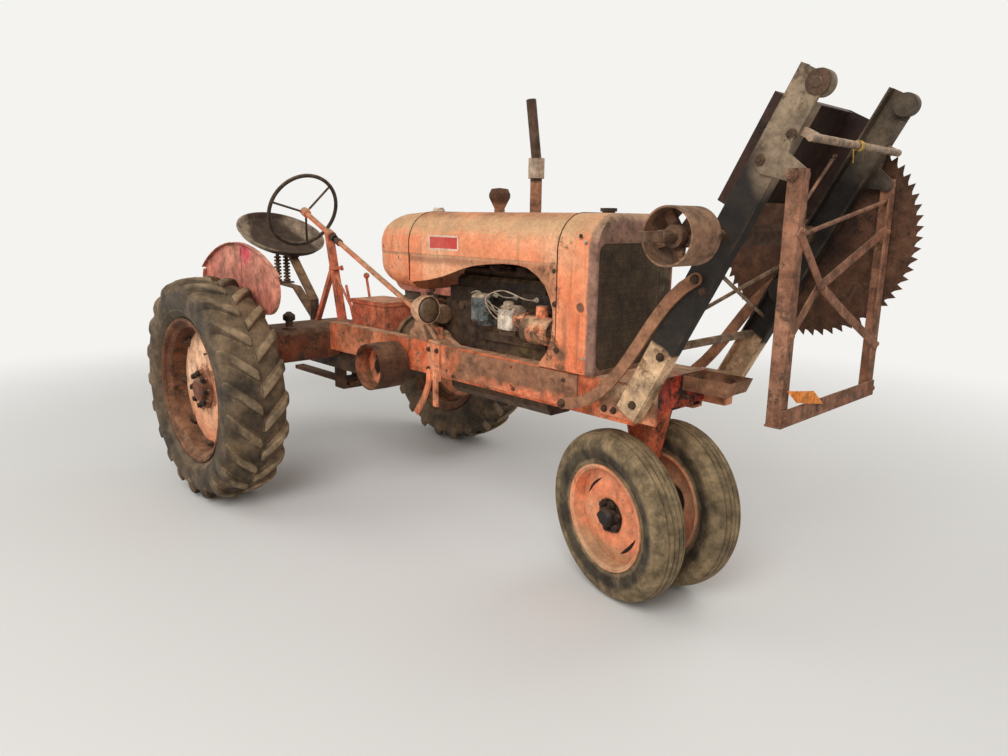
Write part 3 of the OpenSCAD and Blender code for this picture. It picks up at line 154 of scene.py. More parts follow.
# Shared effect: old paint or bare metal with fading, chips, rust, run marks and settled dust
def makeWeathering():
    tree = bpy.data.node_groups.new("weathering", "ShaderNodeTree")
    number, tint = "NodeSocketFloat", "NodeSocketColor"
    groupSockets(tree, [
        ("Paint", tint, (0.5, 0.2, 0.1, 1)), ("Faded", tint, (0.6, 0.4, 0.3, 1)),
        ("Rust", tint, (0.15, 0.07, 0.04, 1)), ("Dust", tint, (0.45, 0.33, 0.22, 1)), ("Fade", number, 0.5),
        ("Rust Amount", number, 0.3), ("Dust Amount", number, 0.5), ("Film", number, 0.2),
        ("Streaks", number, 0.3), ("Edge Wear", number, 0.5), ("Scale", number, 1.0), ("Gloss", number, 0.5),
        ("Contrast", number, 1.0)],
        [("Colour", tint), ("Roughness", number), ("Height", number)])
    given = tree.nodes.new("NodeGroupInput").outputs
    place = addNode(tree, "ShaderNodeTexCoord").outputs["Object"]
    spot = vectors(tree, "SCALE", place, given["Scale"])
    surface = addNode(tree, "ShaderNodeNewGeometry").outputs
    rounded = addNode(tree, "ShaderNodeBevel", {"Radius": 0.006}, samples=4).outputs["Normal"]
    bend = vectors(tree, "DOT_PRODUCT", surface["True Normal"], rounded, "Value")
    upward = addNode(tree, "ShaderNodeSeparateXYZ", {0: surface["Normal"]}).outputs["Z"]

    broad = noise(tree, spot, 2.6, 5.0)
    patchy = noise(tree, spot, 10.0, 9.0, 0.62, 0.35)
    fine = noise(tree, spot, 78.0, 8.0, 0.72, 0.2)
    grains = noise(tree, spot, 240.0, 3.0)

    faded = maths(tree, "MULTIPLY", ramp(tree, broad, 0.38, 0.64), given["Fade"])
    painted = mixColours(tree, faded, given["Paint"], given["Faded"])
    grime = ramp(tree, fine, 0.30, 0.75, 0.0, 0.34)
    painted = mixColours(tree, grime, painted, (0.30, 0.17, 0.11, 1), "MULTIPLY")

    mottle = ramp(tree, noise(tree, spot, 30.0, 7.0, 0.66), 0.32, 0.68, 0.0, 0.55)
    painted = mixColours(tree, mottle, painted, (0.72, 0.66, 0.62, 1), "MULTIPLY")

    edge = maths(tree, "MULTIPLY", ramp(tree, bend, 0.985, 0.80), ramp(tree, patchy, 0.36, 0.60))
    edge = maths(tree, "MULTIPLY", edge, given["Edge Wear"])
    start = maths(tree, "MULTIPLY_ADD", given["Rust Amount"], -0.42, 0.76)
    broken = maths(tree, "MULTIPLY_ADD", maths(tree, "SUBTRACT", fine, 0.5), 0.30, patchy)
    patches = maths(tree, "MULTIPLY", maths(tree, "SUBTRACT", broken, start), 10.0, clamp=True)
    late = maths(tree, "ADD", start, 0.045)
    chips = maths(tree, "MULTIPLY", maths(tree, "SUBTRACT", fine, late), 7.0, clamp=True)
    chips = maths(tree, "MULTIPLY", chips, 0.8)
    rusty = maths(tree, "MAXIMUM", maths(tree, "MAXIMUM", patches, chips), edge)
    rustTint = mixColours(tree, ramp(tree, fine, 0.3, 0.7), given["Rust"], (0.50, 0.44, 0.40, 1), "MULTIPLY")
    body = mixColours(tree, rusty, painted, rustTint)

    drawn = vectors(tree, "MULTIPLY", spot, (21.0, 21.0, 1.5))
    runs = ramp(tree, noise(tree, drawn, 1.0, 4.0, 0.6), 0.54, 0.74)
    upright = maths(tree, "SUBTRACT", 1.0, maths(tree, "ABSOLUTE", upward))
    runs = maths(tree, "MULTIPLY", maths(tree, "MULTIPLY", runs, upright), given["Streaks"])
    body = mixColours(tree, runs, body, (0.055, 0.033, 0.022, 1))

    settled = maths(tree, "MULTIPLY_ADD", maths(tree, "SUBTRACT", patchy, 0.5), 0.9, upward)
    settled = maths(tree, "MULTIPLY", ramp(tree, settled, 0.12, 0.62), ramp(tree, broad, 0.2, 0.55, 0.6, 1.0))
    settled = maths(tree, "MULTIPLY", settled, given["Dust Amount"])
    film = maths(tree, "MULTIPLY", ramp(tree, patchy, 0.30, 0.68), given["Film"])
    dusty = maths(tree, "MAXIMUM", settled, film)
    dustTint = mixColours(tree, ramp(tree, fine, 0.35, 0.7, 0.0, 0.5), given["Dust"], (0.55, 0.47, 0.40, 1),
            "MULTIPLY")
    body = mixColours(tree, dusty, body, dustTint)

    swing = ramp(tree, noise(tree, spot, 12.0, 8.0, 0.68), 0.30, 0.70, -0.50, 0.50)
    body = vectors(tree, "SCALE", body, maths(tree, "MULTIPLY_ADD", swing, given["Contrast"], 1.0))

    dull = maths(tree, "MAXIMUM", rusty, dusty)
    sheen = maths(tree, "SUBTRACT", 1.0, given["Gloss"])
    rough = addNode(tree, "ShaderNodeMix", {0: dull, 2: sheen, 3: 0.93}).outputs[0]
    height = maths(tree, "MULTIPLY_ADD", grains, 0.25, maths(tree, "MULTIPLY", rusty, -0.45))
    height = maths(tree, "MULTIPLY_ADD", fine, 0.5, height)
    out = tree.nodes.new("NodeGroupOutput").inputs
    tree.links.new(body, out["Colour"])
    tree.links.new(rough, out["Roughness"])
    tree.links.new(height, out["Height"])
    return tree


weatheringGroup = makeWeathering()

dustTan = (186, 152, 118)
rustBrown = (108, 66, 46)


view = {"at": (3.9453, -2.4357, 1.5211), "yaw": 136.394, "pitch": 12.128, "roll": 0.770, "focal": 745.7,
        "across": 1008, "sensor": 36.0}


def makeCamera():
    yaw, pitch, roll = (math.radians(view[name]) for name in ("yaw", "pitch", "roll"))
    forward = Vector((math.cos(yaw) * math.cos(pitch), math.sin(yaw) * math.cos(pitch), -math.sin(pitch)))
    level = forward.cross(Vector((0, 0, 1))).normalized()
    upright = level.cross(forward)
    rightward = level * math.cos(roll) + upright * math.sin(roll)
    upward = upright * math.cos(roll) - level * math.sin(roll)
    lens = bpy.data.cameras.new("camera")
    lens.sensor_width = view["sensor"]
    lens.lens = view["focal"] / view["across"] * view["sensor"]
    camera = bpy.data.objects.new("camera", lens)
    turn = Matrix((rightward, upward, -forward)).transposed().to_4x4()
    camera.matrix_world = Matrix.Translation(fromAxle(*view["at"])) @ turn
    bpy.context.scene.collection.objects.link(camera)
    bpy.context.scene.camera = camera


makeCamera()

tints = ("Paint", "Faded", "Rust", "Dust")
columns = (*tints, "Fade", "Rust Amount", "Dust Amount", "Film", "Streaks", "Edge Wear", "Scale", "Gloss")


def finish(*values, contrast=1.0):
    # one row of the columns above; colours are 0 to 255 as seen on a screen
    return {**dict(zip(columns, values)), "Contrast": contrast}


def tones(paint, faded, others=()):
    # what a zone changes: its two paint tones, and others by name
    return {"Paint": paint, "Faded": faded, **dict(others)}


finishes = {
    "orangePaint": finish((240, 130, 86), (252, 182, 138), (112, 68, 47), dustTan,
            0.8, 0.42, 0.75, 0.22, 0.5, 0.8, 1.0, 0.32, contrast=0.6),
    "wheelPaint": finish((250, 150, 106), (255, 196, 152), (150, 88, 58), dustTan,
            0.85, 0.34, 0.7, 0.22, 0.4, 0.8, 1.2, 0.32, contrast=0.45),
    "hoodPaint": finish((252, 138, 90), (255, 184, 138), (126, 80, 56), (212, 170, 128),
            0.80, 0.34, 0.92, 0.10, 0.50, 0.8, 1.0, 0.38, contrast=0.25),
    "railPaint": finish((226, 106, 62), (222, 144, 102), (104, 66, 46), dustTan,
            0.8, 0.52, 0.85, 0.24, 0.5, 0.9, 1.2, 0.25),
    # grime with painted shade: dark orange that also stands for the shade under the fenders
    "grimyShadedPaint": finish((142, 68, 41), (160, 92, 60), (62, 42, 30), (140, 108, 78),
            0.7, 0.60, 0.90, 0.26, 0.7, 0.7, 1.0, 0.25),
    "redPaint": finish((204, 92, 62), (214, 124, 88), (90, 54, 40), dustTan,
            0.6, 0.46, 0.7, 0.20, 0.5, 0.8, 1.4, 0.28),
    "fenderPaint": finish((206, 116, 98), (228, 152, 128), (112, 66, 50), (192, 148, 120),
            0.8, 0.22, 0.5, 0.30, 0.35, 0.9, 1.0, 0.28),
    "rustPlate": finish((148, 102, 76), (164, 118, 88), (108, 70, 50), (176, 138, 104),
            0.8, 0.50, 0.6, 0.22, 0.3, 0.5, 1.2, 0.14),
    "darkRust": finish((78, 50, 35), (98, 66, 46), (52, 34, 25), (134, 102, 76),
            0.7, 0.50, 0.45, 0.14, 0.35, 0.5, 1.4, 0.15),
    "guardPaint": finish((42, 24, 17), (54, 33, 24), (34, 21, 16), (104, 78, 58),
            0.7, 0.42, 0.22, 0.04, 0.5, 0.9, 1.2, 0.22),
    "ironRust": finish((140, 92, 69), (158, 112, 87), (88, 60, 46), (160, 128, 100),
            0.8, 0.52, 0.6, 0.18, 0.4, 0.6, 1.6, 0.15),
    "blackPaint": finish((48, 41, 34), (74, 63, 51), (90, 64, 47), (148, 122, 94),
            0.7, 0.34, 0.55, 0.16, 0.2, 0.8, 1.4, 0.28),
    "darkIron": finish((68, 48, 36), (90, 66, 50), (52, 36, 28), (142, 112, 86),
            0.7, 0.5, 0.5, 0.16, 0.3, 0.5, 1.8, 0.22),
    "beamPaint": finish((22, 18, 14), (36, 30, 24), (96, 76, 58), (150, 124, 98),
            0.75, 0.28, 0.42, 0.05, 0.2, 1.0, 1.1, 0.30),
    "wornBone": finish((224, 190, 150), (196, 160, 124), (124, 90, 64), dustTan,
            0.8, 0.56, 0.5, 0.26, 0.4, 0.9, 1.8, 0.30),
    "wornGrey": finish((84, 72, 58), (142, 124, 101), (54, 43, 34), (168, 144, 116),
            1.0, 0.52, 0.5, 0.26, 0.3, 0.7, 1.8, 0.34),
    "greasyIron": finish((66, 50, 37), (92, 71, 52), (44, 34, 26), (136, 106, 78),
            0.8, 0.5, 0.85, 0.32, 0.35, 0.3, 1.6, 0.38),
    "blackGrease": finish((28, 21, 17), (46, 34, 26), (62, 42, 31), (110, 86, 64),
            0.7, 0.4, 0.5, 0.08, 0.2, 0.5, 3.0, 0.50),
    "aluminium": finish((226, 214, 196), (196, 178, 152), (92, 74, 56), dustTan,
            0.8, 0.44, 0.7, 0.25, 0.35, 0.4, 2.4, 0.45),
    "seatSteel": finish((138, 124, 108), (160, 142, 122), (104, 76, 58), (166, 142, 112),
            0.8, 0.36, 0.30, 0.20, 0.15, 0.5, 1.4, 0.34),
    "filterPaint": finish((46, 66, 80), (104, 116, 118), rustBrown, (180, 156, 124),
            1.0, 0.34, 0.9, 0.30, 0.5, 0.6, 2.4, 0.45, contrast=1.7),
    "bareSteel": finish((152, 132, 112), (128, 106, 86), (106, 76, 56), dustTan,
            0.8, 0.50, 0.5, 0.20, 0.2, 0.4, 2.0, 0.40),
    "rearRubber": finish((48, 43, 36), (98, 80, 60), (170, 148, 116), (164, 138, 106),
            0.85, 0.22, 0.40, 0.30, 0.0, 1.0, 0.9, 0.26),
    "frontRubber": finish((98, 86, 65), (134, 116, 88), (66, 57, 45), (166, 142, 106),
            0.8, 0.40, 0.45, 0.55, 0.0, 0.4, 1.3, 0.16),
    "plugWire": finish((196, 184, 166), (160, 144, 122), (90, 74, 58), dustTan,
            0.8, 0.3, 0.5, 0.2, 0.0, 0.0, 4.0, 0.3),
    "porcelain": finish((214, 206, 192), (196, 182, 160), (90, 68, 50), dustTan,
            0.6, 0.2, 0.6, 0.2, 0.0, 0.0, 6.0, 0.7),
    "twine": finish((214, 176, 78), (196, 158, 88), (126, 96, 50), dustTan,
            0.7, 0.15, 0.3, 0.1, 0.0, 0.0, 8.0, 0.1),
    "cardTag": finish((248, 140, 44), (250, 166, 88), (196, 112, 60), dustTan,
            0.6, 0.02, 0.15, 0.06, 0.0, 0.0, 5.0, 0.25),
    "castOrange": finish((236, 134, 90), (204, 144, 106), (80, 56, 41), dustTan,
            0.8, 0.66, 0.8, 0.30, 0.6, 0.6, 1.8, 0.25, contrast=1.6),
    "starterIron": finish((128, 98, 74), (150, 118, 90), (66, 48, 36), (160, 130, 100),
            0.8, 0.42, 0.8, 0.34, 0.35, 0.4, 1.8, 0.3),
    "kingPaint": finish((206, 80, 46), (214, 112, 72), (70, 42, 30), dustTan,
            0.7, 0.58, 0.6, 0.10, 0.7, 0.8, 1.4, 0.38),
    "lampShell": finish((206, 152, 118), (218, 172, 138), (120, 80, 58), dustTan,
            0.8, 0.34, 0.75, 0.35, 0.3, 0.7, 1.6, 0.28),
    "pulleyIron": finish((92, 67, 51), (112, 84, 64), (74, 52, 40), (150, 120, 92),
            0.8, 0.45, 0.5, 0.16, 0.3, 0.5, 1.8, 0.2),
}
metals = {"aluminium": 0.25, "bareSteel": 0.45, "seatSteel": 0.25}


def squareFrame(way):
    # two directions square to a way, and the way itself
    way = Vector(way).normalized()
    side = way.cross(Vector((0, 0, 1)))
    if side.length < 0.01:
        side = Vector((1, 0, 0))
    side.normalize()
    return side, way.cross(side).normalized(), way


# Zones: where on a piece another finish takes over
def nearLine(centre, way, inner, outer):
    def mask(tree, place):
        away = vectors(tree, "SUBTRACT", place, tuple(centre))
        crossed = vectors(tree, "CROSS_PRODUCT", away, tuple(Vector(way).normalized()))
        return ramp(tree, vectors(tree, "LENGTH", crossed, answer="Value"), outer, inner)
    return mask


def pastPlane(centre, way, start, end):
    def mask(tree, place):
        away = vectors(tree, "SUBTRACT", place, tuple(centre))
        ahead = vectors(tree, "DOT_PRODUCT", away, tuple(Vector(way).normalized()), "Value")
        return ramp(tree, ahead, start, end)
    return mask


def frontOf(x, start, end):
    return pastPlane(fromAxle(x, 0, 0), (1, 0, 0), start, end)


def behind(x, start, end):
    return pastPlane(fromAxle(x, 0, 0), (-1, 0, 0), start, end)


def over(z, start, end):
    return pastPlane(fromAxle(0, 0, z), (0, 0, 1), start, end)


def under(z, start, end):
    return pastPlane(fromAxle(0, 0, z), (0, 0, -1), start, end)


def nearPoint(centre, inner, outer):
    def mask(tree, place):
        return ramp(tree, vectors(tree, "LENGTH", vectors(tree, "SUBTRACT", place, tuple(centre)), answer="Value"),
                outer, inner)
    return mask


def both(*masks):
    def mask(tree, place):
        total = masks[0](tree, place)
        for other in masks[1:]:
            total = maths(tree, "MULTIPLY", total, other(tree, place))
        return total
    return mask


def apart(mask):
    return lambda tree, place: maths(tree, "SUBTRACT", 1.0, mask(tree, place))


def facingIn(centre):
    # the inner faces of a long sheet around a level line
    def mask(tree, place):
        away = vectors(tree, "MULTIPLY", vectors(tree, "SUBTRACT", place, tuple(centre)), (0, 1, 1))
        outward = vectors(tree, "NORMALIZE", away)
        normal = addNode(tree, "ShaderNodeNewGeometry").outputs["True Normal"]
        return ramp(tree, vectors(tree, "DOT_PRODUCT", normal, outward, "Value"), -0.1, -0.3)
    return mask


def darkArcNear(hub, angle, radius, width, half):
    # a dark curved arc in a wheel disc, at an angle round its axle; used for a slot and for painted shade
    across, up, way = squareFrame(hub[1])
    aim = across * math.cos(angle) + up * math.sin(angle)
    ring = both(nearLine(*hub, radius + width / 2, radius + width / 2 + 0.002),
            apart(nearLine(*hub, radius - width / 2 - 0.002, radius - width / 2)))
    return both(ring, pastPlane(hub[0], aim, radius * math.cos(half) - 0.002, radius * math.cos(half) + 0.001))


def faint(mask, share):
    return lambda tree, place: maths(tree, "MULTIPLY", mask(tree, place), share)


def weathered(name, base=None, zones=(), ragged=0.02, depth=0.0012):
    material = bpy.data.materials.new(name)
    material.use_nodes = True
    tree = material.node_tree
    shader = tree.nodes["Principled BSDF"]
    effect = addNode(tree, "ShaderNodeGroup", node_tree=weatheringGroup)
    values = dict(finishes[base or name])
    values.update({socket: colour(*values[socket]) for socket in tints})
    if zones:
        place = addNode(tree, "ShaderNodeTexCoord").outputs["Object"]
        wander = addNode(tree, "ShaderNodeTexNoise", {"Vector": place, "Scale": 22.0, "Detail": 5.0}).outputs["Color"]
        shift = vectors(tree, "SCALE", vectors(tree, "SUBTRACT", wander, (0.5, 0.5, 0.5)), 2 * ragged)
        place = vectors(tree, "ADD", place, shift)
    for mask, other in zones:
        share = mask(tree, place)
        for socket, value in (finishes[other] if isinstance(other, str) else other).items():
            if socket in tints:
                values[socket] = mixColours(tree, share, values[socket], colour(*value))
            elif socket != "Scale":
                values[socket] = addNode(tree, "ShaderNodeMix", {0: share, 2: values[socket], 3: value}).outputs[0]
    for socket, value in values.items():
        if isinstance(value, bpy.types.NodeSocket):
            tree.links.new(value, effect.inputs[socket])
        else:
            effect.inputs[socket].default_value = value
    bump = addNode(tree, "ShaderNodeBump", {"Height": effect.outputs["Height"], "Strength": 0.6, "Distance": depth})
    tree.links.new(effect.outputs["Colour"], shader.inputs["Base Color"])
    tree.links.new(effect.outputs["Roughness"], shader.inputs["Roughness"])
    tree.links.new(bump.outputs["Normal"], shader.inputs["Normal"])
    shader.inputs["Metallic"].default_value = metals.get(base or name, 0.0)
    shader.inputs["Specular IOR Level"].default_value = 0.32
    return material


materials = {name: weathered(name) for name in finishes}


def zoned(name, base, zones, **more):
    materials[name] = weathered(name, base, zones, **more)


# a dark finish for seams, joints and openings, also used as painted shade at a front wheel disc's edge
darkGapAndShade = finish((30, 22, 18), (40, 28, 22), (30, 22, 18), (96, 74, 58), 0.5, 0.2, 0.3, 0.1, 0.0, 0.0, 1.0, 0.1)
rustyBare = finish((126, 82, 62), (146, 98, 74), (92, 58, 46), dustTan, 0.8, 0.5, 0.7, 0.2, 0.4, 0.4, 1.0, 0.15)
purpleGrey = finish((142, 108, 95), (160, 116, 96), (104, 76, 64), dustTan, 0.8, 0.46, 0.6, 0.2, 0.4, 0.4, 1.0, 0.25)
labelRed = finish((212, 70, 66), (220, 96, 86), (206, 84, 70), dustTan, 0.5, 0.0, 0.2, 0.10, 0.0, 0.0, 1.0, 0.35,
        contrast=0.12)
# a darker finish for the hood's inner faces
darkInnerFaces = finish((58, 40, 31), (74, 52, 39), (96, 58, 40), (96, 72, 54), 0.7, 0.55, 0.2, 0.1, 0.4, 0.2, 1.0, 0.12)


def longSpot(centre, half, soft=0.002):
    # a mask for a small rectangle on the tractor's side
    masks = []
    for axis, reach in ((Vector((1, 0, 0)), half[0]), (Vector((0, 0, 1)), half[1])):
        masks += [pastPlane(centre, way, -reach - soft, -reach + soft) for way in (axis, -axis)]
    return both(*masks, pastPlane(centre, (0, -1, 0), -0.02, -0.01))


crease = sizes["crease"]
zoned("hoodFinish", "hoodPaint", [
    (faint(frontOf(1.02, 0.0, 0.12), 0.7), tones((255, 166, 120), (255, 200, 156))),
    (both(under(crease, 0.01, 0.05), frontOf(1.70, 0.0, 0.12), nearPoint(fromAxle(1.86, -0.25, 1.28), 0.02, 0.16)),
            "rustPlate"),
    # pale line along the crease: settled dust with a painted highlight
    (faint(both(under(crease, 0.0, 0.008), over(crease, -0.020, -0.010)), 0.7), tones(dustTan, dustTan)),
    (faint(both(under(crease, 0.010, 0.020), over(crease, -0.060, -0.030)), 0.8),
            tones((160, 110, 82), (170, 120, 90))),
    (faint(both(under(crease, 0.004, 0.020), frontOf(1.40, 0.0, 0.35)), 0.6),
            tones((196, 128, 92), (206, 142, 106), {"Rust Amount": 0.62, "Contrast": 0.9})),
    (over(1.505, 0.0, 0.035), {"Dust": (186, 138, 100), "Contrast": 0.75, "Dust Amount": 0.8}),
    (faint(frontOf(sizes["shellRear"], -0.12, -0.01), 0.8), {"Rust Amount": 0.66}),
    # the hood's inner faces made darker
    (facingIn(fromAxle(0, 0, 1.2)), darkInnerFaces),
], ragged=0.012)
zoned("tankFinish", "hoodPaint", [
    (faint(under(1.25, -0.02, 0.06), 0.9), {"Rust Amount": 0.64, "Streaks": 0.9, "Rust": (84, 52, 38)}),
    # pale line along the crease: settled dust with a painted highlight
    (faint(both(under(crease, 0.0, 0.008), over(crease, -0.018, -0.010)), 0.75), tones(dustTan, dustTan)),
], ragged=0.006)
zoned("shellFinish", "hoodPaint", [
    (frontOf(sizes["shellFront"], -0.052, -0.034), purpleGrey),
    (nearPoint(fromAxle(2.072, -0.25, 1.185), 0.016, 0.024), rustyBare),
    (nearPoint(fromAxle(1.975, -0.25, 0.985), 0.010, 0.055), rustyBare),
    (faint(under(1.02, 0.0, 0.09), 0.8), {"Rust Amount": 0.75, "Streaks": 0.7}),
    (faint(behind(sizes["shellRear"] + 0.02, -0.01, 0.01), 0.6), {"Rust Amount": 0.70}),
], ragged=0.010)
zoned("plateFinish", "rustPlate", [
    (faint(behind(1.32, -0.05, 0.05), 0.85), "railPaint"),
    (both(under(0.815, -0.02, 0.02), frontOf(1.5, -0.2, 0.2)), "orangePaint"),
    (faint(both(frontOf(2.16, -0.02, 0.04), over(0.86, -0.01, 0.03)), 0.8), "wornBone"),
], ragged=0.04)
hubs = {"rear": (fromAxle(0, 0, sizes["axleHeight"]), Vector((0, 1, 0))), "frontRight": frontHub(-1),
        "frontLeft": frontHub(1)}
# a lighter disc finish for the upper part of the rear wheels: painted light that makes up for the fender's shadow
paintedLightDisc = finish((254, 200, 160), (255, 214, 178), (176, 104, 68), dustTan, 0.8, 0.25, 0.7, 0.15, 0.3, 0.6, 1.0,
        0.32)
deepRim = finish((106, 66, 45), (136, 92, 66), (62, 39, 28), (160, 122, 92), 0.9, 0.55, 0.5, 0.1, 0.3, 0.6, 1.0, 0.22)
zoned("rearWheelFinish", "wheelPaint", [
    # upper part of the disc lighter: painted light
    (pastPlane(hubs["rear"][0], (-0.5, 0, 1), -0.02, 0.14), paintedLightDisc),
    (nearLine(*hubs["rear"], 0.130, 0.165), {"Streaks": 0.8, "Rust Amount": 0.7}),
    (apart(nearLine(*hubs["rear"], 0.300, 0.318)), deepRim),
    (nearLine(*hubs["rear"], 0.104, 0.110), tones((104, 60, 40), (122, 74, 50), {"Fade": 0.7})),
], ragged=0.008)
for side in ("Right", "Left"):
    hub = hubs["front" + side]
    low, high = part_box("front_tyre_" + side.lower())
    reach = (high.z - low.z) / 2
    # the arc at 317° is a slot; the one at 137° is painted shade at the disc's edge
    slotAndShadeArcs = [(darkArcNear(hub, math.radians(angle), 0.425 * reach, 0.012, math.radians(19)), darkGapAndShade)
        for angle in (137, 317)]
    zoned("frontWheelFinish" + side, "wheelPaint", [
        (faint(pastPlane(hub[0], (0, 0, -1), 0.10, 0.16), 0.7), tones((214, 170, 128), (206, 166, 128))),
        (nearLine(*hub, 0.066, 0.078), "blackGrease")] + slotAndShadeArcs, ragged=0.003)
    darkWall = tones((46, 42, 36), (62, 56, 46), {"Film": 0.18})
    zoned("frontTyreFinish" + side, "frontRubber", [
        (both(nearLine(*hub, 0.78 * reach, 0.86 * reach), apart(nearLine(*hub, 0.66 * reach, 0.70 * reach))),
                darkWall),
        (apart(nearLine(*hub, 0.965 * reach, 0.985 * reach)), {"Paint": (112, 97, 74), "Film": 0.55})], ragged=0.012)
zoned("steeringWheelFinish", "blackPaint", [
    (nearLine(wheelHub, columnWay, 0.034, 0.040), "orangePaint"),
    (both(pastPlane(jointPlace, columnWay, -0.052, -0.046), nearLine(wheelHub, columnWay, 0.05, 0.06)),
            "blackGrease")], ragged=0.002)
zoned("shaftFinish", "orangePaint", [(nearPoint(jointPlace, 0.046, 0.056), "blackGrease")], ragged=0.002)
zoned("blockFinish", "greasyIron", [
    (over(1.128, -0.004, 0.004), tones((34, 25, 19), (58, 42, 31),
            {"Film": 0.16, "Dust Amount": 0.6, "Contrast": 1.4})),
    (nearPoint(fromAxle(1.66, -0.10, 0.96), 0.04, 0.16),
            tones((96, 76, 48), (128, 104, 68), {"Film": 0.4, "Contrast": 1.5})),
    (nearPoint(fromAxle(1.30, -0.10, 0.98), 0.03, 0.14),
            tones((46, 33, 25), (98, 72, 52), {"Film": 0.34, "Contrast": 1.7}))], ragged=0.02)
zoned("collarFinish", "orangePaint", [(over(0.938, 0.0, 0.002), "wornBone")], ragged=0.001)
foot = onBeam(0, 0, 0)
for side, forward in (("Right", 0.0), ("Left", beam["leftForward"])):
    zoned("beamFinish" + side, "beamPaint", [
        (pastPlane(foot, beamWay, 0.262, 0.244), "wornBone"),
        (faint(pastPlane(foot, beamWay, 0.90, 1.02), 0.9 if forward == 0 else 0.55), "wornGrey"),
        (faint(nearPoint(onBeam(0.05, 0.93, beam["outRight"]), 0.05, 0.10), 0.9), "wornGrey")], ragged=0.012)
zoned("bladeFinish", "darkRust", [
    (apart(nearLine(arborPlace, (0, 1, 0), 0.33, 0.37)), tones((70, 45, 31), (84, 56, 40))),
    (nearLine(arborPlace, (0, 1, 0), 0.10, 0.2), tones((54, 34, 24), (66, 43, 31), {"Film": 0.04})),
    (nearLine(arborPlace, (0, 1, 0), 0.062, 0.066), "darkIron")], ragged=0.02)
zoned("arborFinish", "pulleyIron", [
    (pastPlane(fromAxle(0, -0.42, 0), (0, 1, 0), 0.0, 0.01), "darkIron"),
    # the pulley's inside between rim and hub made lighter: painted light in its shaded hollow
    (both(nearLine(arborPlace, (0, 1, 0), 0.095, 0.100), apart(nearLine(arborPlace, (0, 1, 0), 0.04, 0.05))),
            tones((132, 98, 76), (156, 120, 94)))], ragged=0.004)
seatWay = Vector((math.sin(math.radians(-27)), 0, math.cos(math.radians(27))))
# inside of the seat pan darker with dark rust and almost no dust: painted shade of the bowl over its rust
zoned("seatFinish", "seatSteel", [
    (nearLine(fromAxle(-0.810, 0, 1.407), seatWay, 0.185, 0.222),
            tones((60, 43, 31), (76, 56, 41), {"Rust": (58, 39, 29), "Film": 0.06, "Dust Amount": 0.05}))],
            ragged=0.015)
zoned("cupFinish", "darkRust", [(under(1.600, -0.01, 0.02), "rustPlate")], ragged=0.01)
# final drives: grime and painted shade in one dark orange
zoned("driveFinish", "grimyShadedPaint", [
    # top casting darker: painted shade under the fender
    (over(0.86, -0.03, 0.03), "darkIron"),
    (faint(pastPlane(fromAxle(0, -0.60, 0), (0, 1, 0), 0.0, 0.2), 0.5), "darkRust")], ragged=0.03)
zoned("stackFinish", "darkIron", [
    (both(over(1.698, 0.0, 0.004), under(1.792, 0.0, 0.004)),
            finish((206, 190, 170), (186, 158, 134), (140, 96, 72), dustTan,
            0.7, 0.4, 0.4, 0.15, 0.5, 0.4, 2.0, 0.25)),
    (under(1.69, 0.0, 0.01), "rustPlate")], ragged=0.003)
zoned("pulleyFinish", "darkRust", [
    (nearLine(fromAxle(0.850, 0, 0.786), (0, 1, 0), 0.108, 0.1095), "orangePaint"),
    (nearLine(fromAxle(0.850, 0, 0.786), (0, 1, 0), 0.036, 0.040), "blackGrease")], ragged=0.001)
zoned("magnetoFinish", "aluminium", [
    (frontOf(1.642, -0.001, 0.002), "castOrange"),
    (under(1.041, 0.0, 0.002), "greasyIron")], ragged=0.004)
zoned("generatorFinish", "castOrange", [
    (over(1.108, -0.001, 0.001), tones((250, 116, 70), (250, 150, 104), {"Rust Amount": 0.4})),
    (both(behind(1.745, -0.004, 0.0), under(1.11, 0.0, 0.01)), "greasyIron"),
    (frontOf(1.869, 0.0, 0.002), "darkIron")], ragged=0.004)
zoned("fenderFinish", "fenderPaint", [
    (nearPoint(fromAxle(0.085, -0.67, 1.32), 0.0, 0.10),
            tones((214, 60, 92), (222, 86, 110), {"Fade": 0.3, "Film": 0.0})),
    (faint(under(1.02, 0.0, 0.12), 0.6), {"Paint": (150, 78, 66), "Streaks": 0.7})], ragged=0.02)
zoned("postFinish", "redPaint", [
    (faint(both(over(1.24, -0.03, 0.06), frontOf(-0.10, -0.03, 0.01)), 0.8), "blackGrease")], ragged=0.02)
zoned("bolsterFinish", "orangePaint", [
    (under(0.775, -0.02, 0.01), "kingPaint"),
    (frontOf(sizes["wheelbase"] - 0.03, 0.0, 0.05), "kingPaint"),
    (both(frontOf(sizes["wheelbase"] - 0.01, 0.0, 0.03), over(0.76, 0.0, 0.05)),
            finish((190, 54, 30), (206, 80, 44), (40, 22, 18), dustTan,
            0.6, 0.66, 0.7, 0.05, 0.9, 0.8, 1.0, 0.45))], ragged=0.03)
print("materials ready:", len(materials))

